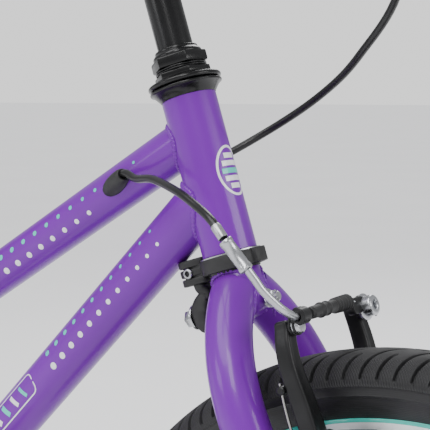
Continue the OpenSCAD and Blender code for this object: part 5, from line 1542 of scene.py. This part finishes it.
class BIKE_OT_stage(bpy.types.Operator):
    """Pale floor, soft studio light and the camera"""
    bl_idname = "bike.stage"
    bl_label = "Stage"

    def execute(self, context):
        floor = Shell()
        half = 60
        steps = np.linspace(-half, half, 25)
        x, y = np.meshgrid(steps, steps, indexing="ij")
        floor.grid(np.stack([x, y, np.zeros_like(x)], -1), wrap_v=False, flip=True)
        mesh = bpy.data.meshes.new("studio_floor")
        mesh.from_pydata(np.concatenate(floor.points).tolist(), [], floor.faces)
        mesh.materials.append(paint_of("floor"))
        ground = bpy.data.objects.new("studio_floor", mesh)
        context.scene.collection.objects.link(ground)
        world = bpy.data.worlds.new("studio_world")
        world.use_nodes = True
        sky = world.node_tree.nodes["Background"]
        sky.inputs["Color"].default_value = (0.97, 0.98, 1.0, 1)
        sky.inputs["Strength"].default_value = 0.55
        seen = world.node_tree.nodes.new("ShaderNodeBackground")
        seen.inputs["Color"].default_value = (1, 1, 1, 1)
        seen.inputs["Strength"].default_value = 1.25
        path = world.node_tree.nodes.new("ShaderNodeLightPath")
        both = world.node_tree.nodes.new("ShaderNodeMixShader")
        link = world.node_tree.links.new
        link(path.outputs["Is Camera Ray"], both.inputs[0])
        link(sky.outputs[0], both.inputs[1])
        link(seen.outputs[0], both.inputs[2])
        link(both.outputs[0], world.node_tree.nodes["World Output"].inputs["Surface"])
        context.scene.world = world
        target = HEAD.origin
        sun = bpy.data.lights.new("sky_light", "SUN")
        sun.energy, sun.angle = 2.5, math.radians(50)
        lamp = bpy.data.objects.new("sky_light", sun)
        lamp.rotation_euler = (math.radians(28), math.radians(-14), 0)
        context.scene.collection.objects.link(lamp)
        area_light("key_light", (1.2, -2.2, 2.6), target, (1.2, 0.9), 32)
        area_light("fill_light", (-1.6, -2.4, 1.3), target, (0.7, 1.2), 12, (0.97, 0.98, 1.0))
        area_light("rim_light", (-0.4, 2.0, 2.4), target, (1.6, 0.8), 26)
        area_light("front_light", (2.6, 0.4, 1.4), target, (0.5, 1.6), 18)
        turn, tilt = math.radians(33.89), math.radians(5.67)
        back = np.array([math.sin(turn) * math.cos(tilt), -math.cos(turn) * math.cos(tilt), math.sin(tilt)])
        right = np.array([math.cos(turn), math.sin(turn), 0.0])
        up = np.cross(back, right)
        away, aside, below = 0.75278, 0.01612, 0.07196
        eye = HEAD.origin + away * back + aside * right - below * up
        data = bpy.data.cameras.new("photo_camera")
        data.lens, data.sensor_width = 102.8, 36.0
        data.clip_start = 0.02
        camera = bpy.data.objects.new("photo_camera", data)
        camera.matrix_world = seen_from(eye, (right, up, back))
        context.scene.collection.objects.link(camera)
        context.scene.camera = camera
        return {"FINISHED"}


class BIKE_PT_panel(bpy.types.Panel):
    """Lists the steps in the sidebar"""
    bl_idname = "BIKE_PT_panel"
    bl_label = "Kids' bike"
    bl_space_type = "VIEW_3D"
    bl_region_type = "UI"
    bl_category = "Bike"

    def draw(self, context):
        for name in BikeLooks.__annotations__:
            self.layout.prop(context.scene.bike_looks, name)
        for step in STEPS:
            self.layout.operator(step.bl_idname)


STEPS = (BIKE_OT_main_tubes, BIKE_OT_decor, BIKE_OT_rear_triangle, BIKE_OT_headset, BIKE_OT_limiter,
         BIKE_OT_fork, BIKE_OT_wheels, BIKE_OT_brakes, BIKE_OT_cables, BIKE_OT_cockpit, BIKE_OT_drive,
         BIKE_OT_seat, BIKE_OT_hidden_parts, BIKE_OT_stage)
CLASSES = (BikeLooks, *STEPS, BIKE_PT_panel)


def register():
    """Registers the classes and adds the settings to the scene."""
    for cls in CLASSES:
        bpy.utils.register_class(cls)
    bpy.types.Scene.bike_looks = bpy.props.PointerProperty(type=BikeLooks)


def unregister():
    """Takes away what register added."""
    del bpy.types.Scene.bike_looks
    for cls in reversed(CLASSES):
        bpy.utils.unregister_class(cls)


def main():
    """Builds everything in order."""
    register()
    for step in STEPS:
        group, name = step.bl_idname.split(".")
        getattr(getattr(bpy.ops, group), name)()


if __name__ == "__main__":
    main()
